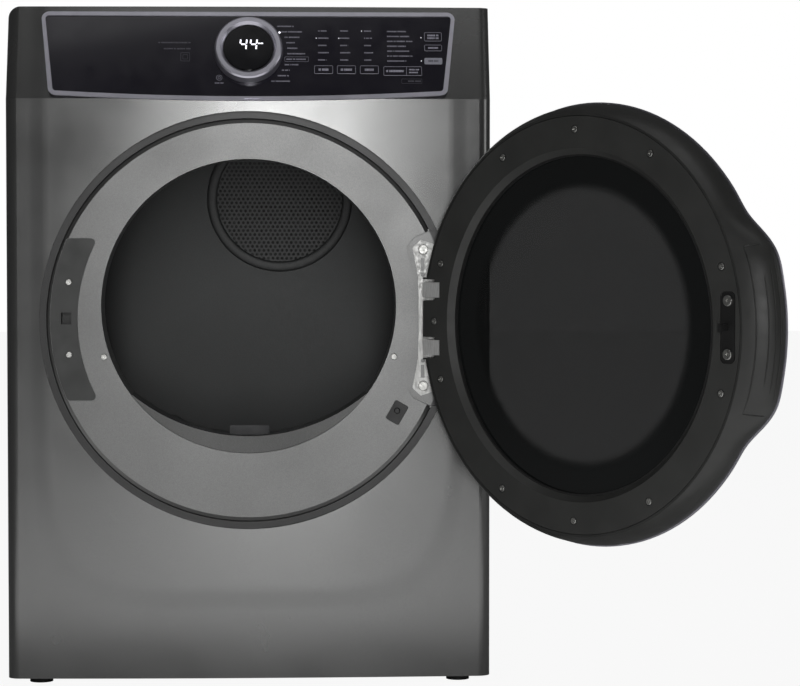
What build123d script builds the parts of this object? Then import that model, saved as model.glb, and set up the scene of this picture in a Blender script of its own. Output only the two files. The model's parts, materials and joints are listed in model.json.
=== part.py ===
from build123d import *
import os
from math import atan2, cos, hypot, pi, radians, sin, sqrt, tan

# A front-loading clothes dryer with its door swung open.
# Millimetres. X to the right, Y to the back, Z up; the origin is on the floor under the cabinet's middle.

# ---- cabinet ----
CABINET_W = 686.0
CABINET_H = 965.0
CABINET_D = 744.0
FLOOR_GAP = 10.0
SHEET = 1.0
GAP = 0.4
CORNER_R = 17.0
TOP_CORNER_R = 18.5
BOW = 8.0
RETURN_D = 41.0

HALF_W = CABINET_W / 2
FRONT_Y = -CABINET_D / 2
REAR_Y = CABINET_D / 2
BOW_R = HALF_W**2 / (2 * BOW)
SIDE_FRONT_Y = FRONT_Y + RETURN_D + 1.0
SKIRT_Z = CABINET_H - TOP_CORNER_R
RIM_H = 20.0

# ---- leaning control console ----
LEAN = radians(20.0)
KNEE_Z = CABINET_H - 133.0
CONSOLE_TOP_Z = CABINET_H - 9.0
CONSOLE_HALF_TOP = 294.5
CONSOLE_HALF_FOOT = 281.0
CONSOLE_SAG = 8.6
TRIM_W = 6.0
FASCIA_T = 3.0
KNOB_Z = KNEE_Z + 67.7
KNOB_R = 49.0
KNOB_H = 17.0
DISPLAY_R = 34.0
KEY_GAP = 0.4
KEY_FOOT = -6.0
KEY_TOP = 1.8
KEY_ROW_Z = KNEE_Z + 41.0
POWER_X = -41.2
POWER_Z = KNEE_Z + 29.0
POWER_R = 4.6
FASCIA_LIFT = 1.0

# ---- ring round the door opening ----
RING_Z = 518.5
GROOVE_R = 296.0
RING_R = 286.0
GROOVE_D = 14.0
OPENING_R = 208.4
OPENING_Z = RING_Z + 20.2
RING_T = 3.0
NECK_END_Y = FRONT_Y + 77.0

# ---- door, drawn closed and then swung open ----
DOOR_GAP = 4.0
DOOR_R = 280.0
DOOR_RIM_R = 297.0
DOOR_T = 50.0
DOOR_BACK_Y = FRONT_Y - DOOR_GAP
BOWL_R = 236.7
GLASS_R = 234.0
LOBE = 25.5
LOBE_INNER_DEG = 16.0
LOBE_OUTER_DEG = 32.0
TRIM_U0 = 38.0
TRIM_U1 = 41.0
OUTER_GLASS_R = 246.0
FLAT_X = 284.0
DOOR_OPEN_DEG = 132.6

# ---- door hinge and latch ----
HINGE_X = 268.0
HINGE_Y = FRONT_Y - 20.0
HINGE_Z = RING_Z + 3.5
PIN_R = 3.0
BARREL_R = 6.5
LEAF_Z = 40.5
LEAF_H = 21.0
LUG_T = 3.0
LUG_GAP = 0.6
RUNNING = 0.05
LATCH_X = -257.6

# ---- drum and its drive ----
DRUM_Z = 560.0
DRUM_R = 322.0
DRUM_T = 1.0
DRUM_NECK_R = 252.0
DRUM_FRONT_Y = FRONT_Y + 80.7
DRUM_REAR_Y = REAR_Y - 62.0
FRONT_BULKHEAD_Y = FRONT_Y + 80.0
REAR_BULKHEAD_Y = REAR_Y - 54.0
ROLLER_R = 35.0
ROLLER_W = 20.0
ROLLER_DEG = 35.0
AXLE_R = 6.0
BELT_T = 2.4
BELT_W = 8.0
BELT_Y = -26.0
BELT_GAP = 0.3
MOTOR_X = -110.0
MOTOR_Z = 128.0
PULLEY_R = 12.5
IDLER_X = -55.0
IDLER_Z = 137.0
IDLER_R = 20.0
IDLER_PIVOT_Z = 46.0
GRILLE_X = 40.0
GRILLE_Z = 700.0
GRILLE_R = 121.0

# ---- air path ----
DUCT_R = 50.8
DUCT_X = 40.0
DUCT_Z = 110.0
BLOWER_R = 95.0
WHEEL_R = 80.0
INLET_R = 50.0
LEDGE_R = 260.0
LEDGE_Z = RING_Z - 164.0 + LEDGE_R
FILTER_HALF = 101.5
FILTER_T = 16.0
FILTER_Y = FRONT_Y + 37.0
FILTER_FOOT_Z = 150.0
HEATER_X0 = 184.0
HEATER_X1 = 306.0
HEATER_Z0 = 54.0
HEATER_Z1 = 168.0

# ---- feet and fasteners ----
FOOT_X = 299.0
FOOT_FRONT_Y = FRONT_Y + 50.0
FOOT_REAR_Y = REAR_Y - 42.0
FOOT_R = 16.5
SHANK_R = 5.0
SCREW_R = 2.0
SCREW_HOLE_R = 2.3
SCREW_HEAD_R = 4.5
INLET_BORE_R = 11.1


# ---------- drawing helpers ----------

def box(x0, x1, y0, y1, z0, z1):
    middle = ((x0 + x1) / 2, (y0 + y1) / 2, (z0 + z1) / 2)
    return Pos(*middle) * Box(x1 - x0, y1 - y0, z1 - z0)


def rod_y(x, z, y0, y1, radius):
    return Pos(x, (y0 + y1) / 2, z) * Rot(90, 0, 0) * Cylinder(radius, y1 - y0)


def rod_z(x, y, z0, z1, radius):
    return Pos(x, y, (z0 + z1) / 2) * Cylinder(radius, z1 - z0)


def tube_y(x, z, y0, y1, outer, inner):
    return rod_y(x, z, y0, y1, outer) - rod_y(x, z, y0 - 1, y1 + 1, inner)


def facing(y):
    """The upright plane at y whose drawing runs X to the right and Z up."""
    return Plane((0, y, 0), x_dir=(1, 0, 0), z_dir=(0, -1, 0))


def slab_y(drawing, y0, y1):
    """An X-Z drawing made solid from y0 back to y1."""
    return extrude(facing(y1) * drawing, amount=y1 - y0)


def polygon(points):
    return make_face(Polyline(*points, close=True))


def slab_x(points, x0, x1):
    """A polygon of (y, z) corners made solid from x0 to x1."""
    plane = Plane((x0, 0, 0), x_dir=(0, 1, 0), z_dir=(1, 0, 0))
    return extrude(plane * polygon(points), amount=x1 - x0)


def turned(points, x, z):
    """A polygon of (radius, y) corners spun about the line through (x, z) along Y."""
    section = Plane((x, 0, z), x_dir=(1, 0, 0), z_dir=(0, 0, 1)) * polygon(points)
    return revolve(section, Axis((x, 0, z), (0, 1, 0)), 360)


def save(name, shape):
    export_step(shape, f"parts/{name}.step")


def group(shapes):
    return Compound(children=[solid for shape in shapes for solid in shape.solids()])


# ---------- the cabinet's bowed front ----------

def bowed_plan(inset, back_y):
    """The front's outline seen from above, moved in by inset and closed off at back_y."""
    half = HALF_W - inset
    front = Pos(0, FRONT_Y + BOW_R) * Circle(BOW_R - inset)
    depth = back_y - FRONT_Y + 20
    field = Pos(0, back_y - depth / 2) * Rectangle(2 * half, depth)
    plan = front & field
    corners = plan.vertices().sort_by(Axis.Y)[:2]
    return fillet(corners, CORNER_R - inset)


def follow_front(plan, z0, z1):
    """A plan drawing raised from z0 to z1: upright to the knee, then leaning back with the console."""
    shape = extrude(Pos(0, 0, z0) * plan, amount=KNEE_Z - z0)
    rise = z1 - KNEE_Z
    lean = extrude(Pos(0, 0, KNEE_Z) * plan, amount=rise / cos(LEAN), dir=(0, sin(LEAN), cos(LEAN)))
    return shape + lean


def silhouette(inset, z0):
    """The cabinet seen from the front, with its rounded top corners."""
    half = HALF_W - inset
    top = CABINET_H - inset
    outline = Pos(0, (z0 + top) / 2) * Rectangle(2 * half, top - z0)
    corners = outline.vertices().sort_by(Axis.Y)[2:]
    return fillet(corners, TOP_CORNER_R - inset)


def top_corner_cuts():
    """What rounding the cabinet's two top corners takes away."""
    cuts = []
    x, z = HALF_W - TOP_CORNER_R, CABINET_H - TOP_CORNER_R
    for side in (-1, 1):
        inner, outer = sorted((side * x, side * (HALF_W + 5)))
        block = box(inner, outer, FRONT_Y - 5, REAR_Y + 5, z, CABINET_H + 5)
        cuts.append(block - rod_y(side * x, z, FRONT_Y - 6, REAR_Y + 6, TOP_CORNER_R))
    return cuts


def console_outline(grow):
    """The console's outline on its leaning plane: a tapered panel with a sagging foot edge."""
    top = (CONSOLE_TOP_Z - KNEE_Z) / cos(LEAN) + grow
    side = 4.8 - grow
    foot = side - CONSOLE_SAG
    a = CONSOLE_HALF_TOP + grow
    b = CONSOLE_HALF_FOOT + grow
    edge = Line((-b, side), (-a, top)) + Line((-a, top), (a, top)) + Line((a, top), (b, side))
    edge += ThreePointArc((b, side), (0, foot), (-b, side))
    face = make_face(edge)
    return fillet(face.vertices(), 11.0 + grow)


def console_plane(lift):
    """The leaning plane, lift millimetres in front of the panel's face."""
    origin = (0, FRONT_Y - lift * cos(LEAN), KNEE_Z + lift * sin(LEAN))
    return Plane(origin, x_dir=(1, 0, 0), z_dir=(0, -cos(LEAN), sin(LEAN)))


def console_slab(drawing, lift0, lift1):
    return extrude(console_plane(lift0) * drawing, amount=lift1 - lift0)


def up_slope(z):
    return (z - KNEE_Z) / cos(LEAN)


def front_panel():
    wall = bowed_plan(0, FRONT_Y + RETURN_D) - bowed_plan(SHEET, FRONT_Y + RETURN_D + 15)
    panel = follow_front(wall, FLOOR_GAP, CABINET_H)
    for corner in top_corner_cuts():
        panel -= corner
    panel -= rod_y(0, RING_Z, FRONT_Y - 5, FRONT_Y + 30, GROOVE_R)
    lip = tube_y(0, RING_Z, FRONT_Y - 5, FRONT_Y + GROOVE_D - 0.4, GROOVE_R + SHEET, GROOVE_R)
    lip = lip & extrude(Pos(0, 0, RING_Z - 400) * bowed_plan(0.3, 0), amount=800)
    panel += lip
    return panel - console_slab(console_outline(-2.0), -30, 20)


def top_panel():
    band = silhouette(0, SKIRT_Z) - (silhouette(SHEET, SKIRT_Z - 20))
    lid = slab_y(band, FRONT_Y - 10, REAR_Y)
    lid += box(-HALF_W + 22, HALF_W - 22, REAR_Y - SHEET, REAR_Y, SKIRT_Z - 4, CABINET_H - SHEET)
    plan = bowed_plan(SHEET + GAP, FRONT_Y + RETURN_D + 2)
    behind = SIDE_FRONT_Y + 0.5
    plan += Pos(0, behind + 500) * Rectangle(2 * HALF_W + 60, 1000)
    lean = extrude(Pos(0, 0, KNEE_Z) * plan, amount=200, dir=(0, sin(LEAN), cos(LEAN)))
    return lid & lean


def side_panel(side):
    knee_back = (SKIRT_Z - 1 - KNEE_Z) * tan(LEAN)
    outline = [
        (SIDE_FRONT_Y, FLOOR_GAP),
        (REAR_Y, FLOOR_GAP),
        (REAR_Y, SKIRT_Z - 1),
        (SIDE_FRONT_Y + knee_back, SKIRT_Z - 1),
        (SIDE_FRONT_Y, KNEE_Z),
    ]
    wall = slab_x(outline, HALF_W - SHEET, HALF_W)
    wall += box(HALF_W - 16, HALF_W, REAR_Y - SHEET, REAR_Y, FLOOR_GAP, SKIRT_Z - 1)
    wall += box(HALF_W - 16, HALF_W, SIDE_FRONT_Y, REAR_Y, FLOOR_GAP, FLOOR_GAP + SHEET)
    return wall if side > 0 else mirror(wall, about=Plane.YZ)


def rear_screw_spots():
    return [(x, z) for x in (-300, 0, 300) for z in (40, 480, 925) if (x, z) != (0, 480)]


def rear_panel():
    panel = box(-HALF_W + 3, HALF_W - 3, REAR_Y - 2.7, REAR_Y - 1.5, 16, SKIRT_Z - 5)
    for column in (-210, 150):
        for row in range(8):
            z = 330 + 22 * row
            panel -= box(column - 45, column + 45, REAR_Y - 5, REAR_Y, z, z + 6)
            panel += box(column - 48, column + 48, REAR_Y - 1.6, REAR_Y + 2.5, z + 6, z + 7.5)
    for x in (-120, 60):
        panel += slab_y(Pos(x, 740) * SlotOverall(260, 12, rotation=90), REAR_Y - 1.6, REAR_Y + 1.0)
    panel -= rod_y(DUCT_X, DUCT_Z, REAR_Y - 5, REAR_Y, DUCT_R + 3)
    panel -= box(-255, -175, REAR_Y - 5, REAR_Y, 700, 760)
    for x, z in rear_screw_spots():
        panel -= rod_y(x, z, REAR_Y - 5, REAR_Y, SCREW_HOLE_R)
    return panel


def base_pan():
    x, front, rear = HALF_W - 2.5, FRONT_Y + 22, REAR_Y - 4
    pan = box(-x, x, front, rear, FLOOR_GAP + 2, FLOOR_GAP + 2 + RIM_H)
    pan -= box(-x + 1.5, x - 1.5, front + 1.5, rear - 1.5, FLOOR_GAP + 3.5, 90)
    for rib_y in (-150, 60, 240):
        pan += box(-x + 40, x - 40, rib_y - 4, rib_y + 4, FLOOR_GAP + 3, FLOOR_GAP + 6)
    for fx, fy in foot_spots():
        pan += rod_z(fx, fy, FLOOR_GAP + 2, FLOOR_GAP + 12, 10)
        pan -= rod_z(fx, fy, 0, 60, SHANK_R + RUNNING)
    return pan + idler_post()


def foot_spots():
    return [(x, y) for y in (FOOT_FRONT_Y, FOOT_REAR_Y) for x in (-FOOT_X, FOOT_X)]


def levelling_foot(x, y):
    foot = rod_z(x, y, 0, 7, FOOT_R)
    foot = chamfer(foot.edges().group_by(Axis.Z)[-1], 1.5)
    foot += extrude(Pos(x, y, 7) * RegularPolygon(9, 6), amount=2.5)
    return foot + rod_z(x, y, 7, 48, SHANK_R)


# ---------- ring round the opening ----------

def hinge_recess(grow):
    """The bow-tie shaped recess that holds the hinge, open to the ring's outer edge."""
    upper = [(300, 125), (258, 125), (234, 115), (223, 101), (236.5, 31)]
    lower = [(x, -z) for x, z in reversed(upper)]
    shape = polygon(upper + lower)
    shape = fillet(shape.vertices().sort_by(Axis.X)[:6], 5)
    if grow:
        shape = offset(shape, grow, kind=Kind.ARC)
    return Pos(0, HINGE_Z) * shape


def latch_pad_outline(shrink):
    """The latch pad: a slice of the ring with rounded corners at its outer edge."""
    outer = Circle(RING_R - 5.5 - shrink) - Circle(RING_R - 45 + shrink)
    slice_box = Pos(-250, 0) * Rectangle(160, 2 * (115 - shrink))
    return Pos(0, RING_Z + 2) * fillet((outer & slice_box).vertices(), 6)


def screw_at(x, y, z, length, head_r=SCREW_HEAD_R, shank_r=SCREW_R):
    """A pan-head screw facing the front, its head's seat at y."""
    screw = rod_y(x, z, y - 2.4, y, head_r)
    screw = fillet(screw.edges().sort_by(Axis.Y)[0], 1.0)
    screw -= box(x - 2.2, x + 2.2, y - 3, y - 1.4, z - 0.6, z + 0.6)
    screw -= box(x - 0.6, x + 0.6, y - 3, y - 1.4, z - 2.2, z + 2.2)
    return screw + rod_y(x, z, y, y + length, shank_r)


def ring_screw_spots():
    return [(-204.5, RING_Z - 51.3), (205.5, RING_Z - 51.3)]


def latch_screw_spots():
    return [(-253.7, HINGE_Z + 51.2), (-253.7, HINGE_Z - 51.2)]


def hinge_screw_spots():
    return [(247.5, HINGE_Z + 97), (247.5, HINGE_Z - 97)]


def door_frame():
    floor_y = FRONT_Y + GROOVE_D
    ring = turned([
        (150, FRONT_Y), (RING_R - 7, FRONT_Y), (RING_R - 2.2, FRONT_Y + 1.6), (RING_R, FRONT_Y + 6),
        (RING_R, floor_y), (303, floor_y), (303, floor_y + 2), (RING_R - 3, floor_y + 2),
        (RING_R - 3, FRONT_Y + RING_T + 3), (RING_R - 8, FRONT_Y + RING_T), (150, FRONT_Y + RING_T),
    ], 0, RING_Z)
    ring += rod_y(0, RING_Z, FRONT_Y, FRONT_Y + RING_T, 160)
    neck_face = Pos(0, OPENING_Z) * Circle(OPENING_R + 3)
    ring += slab_y(neck_face, FRONT_Y + 1, NECK_END_Y)
    cup = slab_y(hinge_recess(2.5), FRONT_Y + RING_T - 1, floor_y + 2)
    ring += cup & rod_y(0, RING_Z, FRONT_Y, FRONT_Y + 40, GROOVE_R - 0.8)
    ring -= slab_y(hinge_recess(0), FRONT_Y - 5, floor_y)
    ring -= slab_y(Pos(0, OPENING_Z) * Circle(OPENING_R), FRONT_Y - 5, NECK_END_Y + 5)
    ring -= box(-112, 112, FILTER_Y - 17, FILTER_Y + 17, 300, 400)
    ring -= slab_y(latch_pad_outline(0), FRONT_Y - 5, FRONT_Y + 1.5)
    ring -= box(LATCH_X - 9, LATCH_X + 9, FRONT_Y - 5, FRONT_Y + 10, HINGE_Z - 12, HINGE_Z + 12)
    ring -= slab_y(door_switch_outline(0.3), FRONT_Y - 5, FRONT_Y + 10)
    for x, z in ring_screw_spots() + latch_screw_spots() + hinge_screw_spots():
        ring -= rod_y(x, z, FRONT_Y - 5, FRONT_Y + 40, SCREW_HOLE_R)
    return ring


def door_latch():
    """The latch pad with the catch box moulded on its back."""
    pad = slab_y(latch_pad_outline(0.5), FRONT_Y - 0.6, FRONT_Y + 1.2)
    x0, x1, z0, z1 = LATCH_X - 7.2, LATCH_X + 7.2, HINGE_Z - 8.5, HINGE_Z + 8.5
    pad += box(x0 - 1.4, x1 + 1.4, FRONT_Y + 1, FRONT_Y + 24, z0 - 1.4, z1 + 1.4)
    pad -= box(x0, x1, FRONT_Y - 5, FRONT_Y + 22, z0, z1)
    for z in (z0, z1):
        pad += box(x0 - 0.5, x1 + 0.5, FRONT_Y + 4, FRONT_Y + 8, z - 1, z + 1)
    for x, z in latch_screw_spots():
        pad -= rod_y(x, z, FRONT_Y - 5, FRONT_Y + 5, SCREW_HOLE_R)
    return pad


def door_switch_outline(grow):
    shape = RectangleRounded(21 + 2 * grow, 30 + 2 * grow, 3, rotation=-30)
    return Pos(209.7, RING_Z - 130.7) * shape


def door_switch_body():
    body = slab_y(door_switch_outline(0), FRONT_Y - 0.5, FRONT_Y + 22)
    return body - rod_y(209.7, RING_Z - 128, FRONT_Y - 5, FRONT_Y + 18, 4.3)


def door_switch_plunger():
    plunger = rod_y(209.7, RING_Z - 128, FRONT_Y - 2.8, FRONT_Y + 12, 4.0)
    return fillet(plunger.edges().sort_by(Axis.Y)[0], 1.2)


def hinge_bracket():
    """The fixed plate in the recess with four lugs and the two pins they carry."""
    floor_y = FRONT_Y + GROOVE_D
    upper = [(262, 105), (244, 111), (232, 100), (240, 58), (241, 22)]
    shape = polygon(upper + [(x, -z) for x, z in reversed(upper)])
    shape = fillet(shape.vertices().sort_by(Axis.X)[:6], 4)
    plate = slab_y(Pos(0, HINGE_Z) * shape, floor_y - 2.6, floor_y - 0.1)
    for x, z in hinge_screw_spots():
        plate -= rod_y(x, z, floor_y - 5, floor_y + 5, SCREW_HOLE_R)
    for side in (-1, 1):
        plate -= rod_y(247, HINGE_Z + side * 61, floor_y - 5, floor_y + 5, 3)
        plate -= box(244, 249, floor_y - 5, floor_y + 5, HINGE_Z + side * 76 - 9, HINGE_Z + side * 76 + 9)
        for lug_z in lug_centres(side):
            z0, z1 = lug_z - LUG_T / 2, lug_z + LUG_T / 2
            plate += box(256, HINGE_X + 5, floor_y - 2.6, floor_y - 0.1, z0, z1)
            plate += box(HINGE_X - 5, HINGE_X + 5, HINGE_Y, floor_y - 1, z0, z1)
            plate += rod_z(HINGE_X, HINGE_Y, z0, z1, 5)
        middle = HINGE_Z + side * LEAF_Z
        reach = LEAF_H / 2 + LUG_GAP + LUG_T
        plate += rod_z(HINGE_X, HINGE_Y, middle - reach, middle + reach, PIN_R)
    return plate


def lug_centres(side):
    middle = HINGE_Z + side * LEAF_Z
    step = LEAF_H / 2 + LUG_GAP + LUG_T / 2
    return [middle - step, middle + step]


# ---------- the door ----------

def door_y(depth):
    """Y of a point that far in front of the door's inner face, with the door closed."""
    return DOOR_BACK_Y - depth


def rim_radius(angle, lobe, grow):
    """The door's outer radius; the handle lobe swells on the side away from the hinge."""
    away = abs(180 - angle % 360)
    t = min(max((away - LOBE_INNER_DEG) / (LOBE_OUTER_DEG - LOBE_INNER_DEG), 0), 1)
    return DOOR_RIM_R + grow + lobe * (1 - 3 * t**2 + 2 * t**3)


def door_section(depth, lobe, grow):
    """The door's outline at one depth, as a closed smooth face."""
    points = []
    for angle in range(0, 360, 6):
        radius = rim_radius(angle, lobe, grow)
        points.append((radius * cos(radians(angle)), RING_Z + radius * sin(radians(angle))))
    face = make_face(Spline(*points, periodic=True))
    return facing(door_y(depth)) * face


def door_hull(inset, back, front):
    """The door's outer body between two depths, moved in by inset."""
    stations = [(0, 0.0, -13.5), (12, 0.45, -5.5), (26, 0.85, -1.5), (TRIM_U0, 1.0, 0.0)]
    sections = [door_section(u, LOBE * share, grow - inset) for u, share, grow in stations]
    hull = loft(sections)
    hull += extrude(door_section(TRIM_U1, LOBE, -inset), amount=-(TRIM_U1 - TRIM_U0))
    nose = [door_section(TRIM_U1, LOBE, -inset), door_section(DOOR_T, LOBE * 0.8, -13 - inset)]
    hull += loft(nose, ruled=True)
    return hull & box(-400, 400, door_y(front), door_y(back), 0, 1000)


def hinge_side_cut(inset=0.0):
    """What the door leaves out beside its hinge so that it can swing past the cabinet."""
    edge = FLAT_X - inset
    corners = [
        (edge, DOOR_BACK_Y + 5), (edge, door_y(30)), (edge - 7, door_y(TRIM_U1)), (edge - 18, door_y(DOOR_T + 4)),
        (340, door_y(DOOR_T + 4)), (340, DOOR_BACK_Y + 5),
    ]
    return extrude(polygon(corners), amount=1000)


def hinge_pockets():
    """Room in the door for the hinge leaves and for the fixed lugs' swing."""
    cuts = []
    for side in (-1, 1):
        middle = HINGE_Z + side * LEAF_Z
        tall = LEAF_H / 2 + 0.4
        cuts.append(box(251.2, 320, door_y(26), door_y(-1), middle - tall, middle + tall))
        for lug_z in lug_centres(side):
            reach = LUG_T / 2 + 0.8
            cuts.append(box(HINGE_X - 7, 320, door_y(42), door_y(-1), lug_z - reach, lug_z + reach))
    return cuts


def carve(shape):
    shape -= hinge_side_cut()
    for cut in hinge_pockets():
        shape -= cut
    return shape


def door_screw_spots():
    angles = (0, 18, 60, 90, 120, 162, 198, 240, 270, 300, 342)
    radius = 262.0
    return [(radius * cos(radians(a)), RING_Z + radius * sin(radians(a))) for a in angles]


def door_inner_panel():
    panel = turned([
        (DOOR_R - 0.4, door_y(0)), (BOWL_R, door_y(0)), (229, door_y(8)), (232, door_y(8)),
        (238.5, door_y(3)), (DOOR_R - 3, door_y(3)), (DOOR_R - 3, door_y(6)), (DOOR_R - 0.4, door_y(6)),
    ], 0, RING_Z)
    panel += box(266, FLAT_X - 0.4, door_y(3), door_y(0), HINGE_Z - 58, HINGE_Z + 58)
    panel = carve(panel)
    slot = Pos(-260.0, HINGE_Z) * RectangleRounded(24, 92, 8)
    panel -= slab_y(slot, door_y(2), door_y(-2))
    for x, z in door_screw_spots():
        panel += rod_y(x, z, door_y(6), door_y(3), 6)
        panel -= rod_y(x, z, door_y(1.4), door_y(-2), 5.6)
        panel -= rod_y(x, z, door_y(9), door_y(0), SCREW_HOLE_R)
    for x, z in strike_screw_spots():
        panel -= rod_y(x, z, door_y(9), door_y(0), SCREW_HOLE_R + 0.6)
    return panel - hinge_side_cut()


def door_shell():
    """The outer door body with its handle lobe, hollow, with the window's hole in its face."""
    shell = door_hull(0, 0, DOOR_T)
    hollow = door_hull(3.2, -2, DOOR_T - 3) - hinge_side_cut(3.0)
    shell = shell - hollow
    shell -= rod_y(0, RING_Z, door_y(DOOR_T + 5), door_y(20), OUTER_GLASS_R - 6)
    shell -= rod_y(0, RING_Z, door_y(DOOR_T + 5), door_y(DOOR_T - 1.4), OUTER_GLASS_R + 0.4)
    shell -= box(FLAT_X - 18.4, 320, door_y(3.4), door_y(-1), HINGE_Z - 58.4, HINGE_Z + 58.4)
    return carve(shell)


def door_trim():
    outer = door_section(TRIM_U1, LOBE, 1.8)
    inner = door_section(TRIM_U1 + 1, LOBE, 0.1)
    height = TRIM_U1 - TRIM_U0
    band = extrude(outer, amount=-height) - extrude(inner, amount=-height - 2)
    for side in (-1, 1):
        for lug_z in lug_centres(side):
            reach = LUG_T / 2 + 0.8
            band -= box(HINGE_X - 7, 320, door_y(60), door_y(-1), lug_z - reach, lug_z + reach)
    return band - hinge_side_cut()


def door_inner_glass():
    glass = rod_y(0, RING_Z, door_y(16.4), door_y(12.4), GLASS_R)
    return fillet(glass.edges(), 1.0)


def door_gasket():
    return turned([
        (226.5, door_y(8.3)), (233, door_y(8.3)), (233, door_y(12.2)), (226.5, door_y(12.2)),
    ], 0, RING_Z)


def door_outer_glass():
    """The tinted window in the door's face, a shallow dome."""
    r = OUTER_GLASS_R
    return turned([
        (0, door_y(53.0)), (r * 0.5, door_y(52.4)), (r * 0.85, door_y(51.0)), (r, door_y(49.6)),
        (r, door_y(DOOR_T - 1.2)), (0, door_y(DOOR_T - 1.2)),
    ], 0, RING_Z)


def strike_screw_spots():
    return [(-260.0, HINGE_Z + 34.2), (-260.0, HINGE_Z - 34.2)]


def door_strike():
    """A plate in the door's slot with the post that the catch grips."""
    plate = slab_y(Pos(-260.0, HINGE_Z) * RectangleRounded(22, 90, 7), door_y(1.9), door_y(0.3))
    plate += box(LATCH_X - 3, LATCH_X + 3, door_y(1), door_y(-14), HINGE_Z - 4, HINGE_Z + 4)
    plate += box(LATCH_X - 3, LATCH_X + 3, door_y(-10), door_y(-14), HINGE_Z - 6, HINGE_Z + 6)
    for x, z in strike_screw_spots():
        plate -= rod_y(x, z, door_y(5), door_y(-5), SCREW_HOLE_R + 0.6)
    return plate


def from_inside(x, depth, z, head_r, shank_r):
    """A door screw: like the cabinet's, but its head sits on the side that faces the drum."""
    head = rod_y(x, z, door_y(depth), door_y(depth - 2.2), head_r)
    head = fillet(head.edges().sort_by(Axis.Y)[-1], 0.9)
    head -= box(x - 2.0, x + 2.0, door_y(depth - 1.2), door_y(-9), z - 0.6, z + 0.6)
    head -= box(x - 0.6, x + 0.6, door_y(depth - 1.2), door_y(-9), z - 2.0, z + 2.0)
    return head + rod_y(x, z, door_y(depth + 10), door_y(depth), shank_r)


def door_screws():
    screws = [from_inside(x, 1.3, z, SCREW_HEAD_R, SCREW_R) for x, z in door_screw_spots()]
    screws += [from_inside(x, 0.2, z, 7.0, SCREW_R + 0.5) for x, z in strike_screw_spots()]
    return group(screws)


def door_hinge_leaves():
    """Two curled plates: flat on the door's inner face, round its edge and back to a barrel on the pin."""
    leaves = []
    edge = FLAT_X - 0.6
    for side in (-1, 1):
        z0 = HINGE_Z + side * LEAF_Z - LEAF_H / 2
        flat = Pos((252 + edge) / 2, door_y(1.25)) * Rectangle(edge - 252, 2.5)
        web = Pos(edge - 1.25, (door_y(0) + door_y(22.5)) / 2) * Rectangle(2.5, 22.5)
        curl = Pos((HINGE_X + edge) / 2, door_y(21.25)) * Rectangle(edge - HINGE_X, 2.5)
        barrel = Pos(HINGE_X, HINGE_Y) * Circle(BARREL_R)
        profile = flat + web + curl + barrel - Pos(HINGE_X, HINGE_Y) * Circle(PIN_R + RUNNING)
        leaves.append(extrude(Pos(0, 0, z0) * profile, amount=LEAF_H))
    return group(leaves)


def swing_open(shape):
    return shape.rotate(Axis((HINGE_X, HINGE_Y, 0), (0, 0, 1)), DOOR_OPEN_DEG)


# ---------- console ----------

def key_plan():
    """Each key's name with its centre and size on the leaning plane."""
    low, tall = KEY_ROW_Z, 13.5
    return {
        "key_temperature": (106.2, low, 27.0, tall),
        "key_dryness": (138.5, low, 27.0, tall),
        "key_time": (171.0, low, 27.0, tall),
        "key_options": (218.3, low - 1.8, 55.0, tall + 1.4),
        "key_start": (262.0, low + 48.0, 25.5, 14.5),
        "key_cancel": (262.0, low + 31.8, 25.5, 10.4),
        "key_favourite": (262.0, low + 12.9, 25.5, 9.8),
    }


def key_shape(x, z, width, tall, grow):
    radius = 2.0 + grow
    return Pos(x, up_slope(z)) * RectangleRounded(width + 2 * grow, tall + 2 * grow, radius)


def console_fascia():
    fascia = console_slab(console_outline(-TRIM_W - 0.3), FASCIA_LIFT - FASCIA_T, FASCIA_LIFT)
    fascia -= console_slab(Pos(0, up_slope(KNOB_Z)) * Circle(DISPLAY_R - 6), -10, 10)
    for x, z, width, tall in key_plan().values():
        fascia -= console_slab(key_shape(x, z, width, tall, KEY_GAP), -10, 10)
    return fascia - console_slab(Pos(POWER_X, up_slope(POWER_Z)) * Circle(POWER_R + KEY_GAP), -10, 10)


def console_trim():
    frame = console_outline(0) - console_outline(-TRIM_W)
    skirt = console_outline(-2.4) - console_outline(-TRIM_W)
    trim = console_slab(frame, 0.2, 2.8) + console_slab(skirt, -9.0, 0.4)
    notch = Pos(5.5, -4.5) * Rectangle(22, 7)
    return trim - console_slab(notch, 1.2, 10)


def selector_ring():
    """The turning dial ring, flared towards the panel."""
    plane = console_plane(0)
    profile = [
        (KNOB_R, 1.4), (KNOB_R, 4.0), (KNOB_R - 1.6, KNOB_H - 2), (KNOB_R - 3.6, KNOB_H),
        (DISPLAY_R + 5.5, KNOB_H), (DISPLAY_R + 1.4, KNOB_H - 4.5), (DISPLAY_R + 1.4, 1.4),
    ]
    section = Plane.XZ * polygon(profile)
    ring = revolve(section, Axis.Z, 360)
    spot = Location(plane) * Pos(0, up_slope(KNOB_Z), 0)
    return spot * ring


def display_window():
    spot = Location(console_plane(0)) * Pos(0, up_slope(KNOB_Z), 0)
    drum = Pos(0, 0, (1.3 + KNOB_H - 5) / 2) * Cylinder(DISPLAY_R + 0.9, KNOB_H - 5 - 1.3)
    face = Pos(0, 0, KNOB_H - 4.2) * Cylinder(DISPLAY_R, 1.8)
    stem = Pos(0, 0, -3) * Cylinder(DISPLAY_R - 6.5, 9.4)
    return spot * (drum + face + stem)


def push_key(x, z, width, tall):
    key = console_slab(key_shape(x, z, width, tall, 0), KEY_FOOT, KEY_TOP)
    top = key.faces().sort_by(Axis((0, 0, 0), (0, -cos(LEAN), sin(LEAN))))[-1]
    return fillet(top.edges(), 0.5)


def power_key():
    return console_slab(Pos(POWER_X, up_slope(POWER_Z)) * Circle(POWER_R), KEY_FOOT, KEY_TOP)


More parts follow.
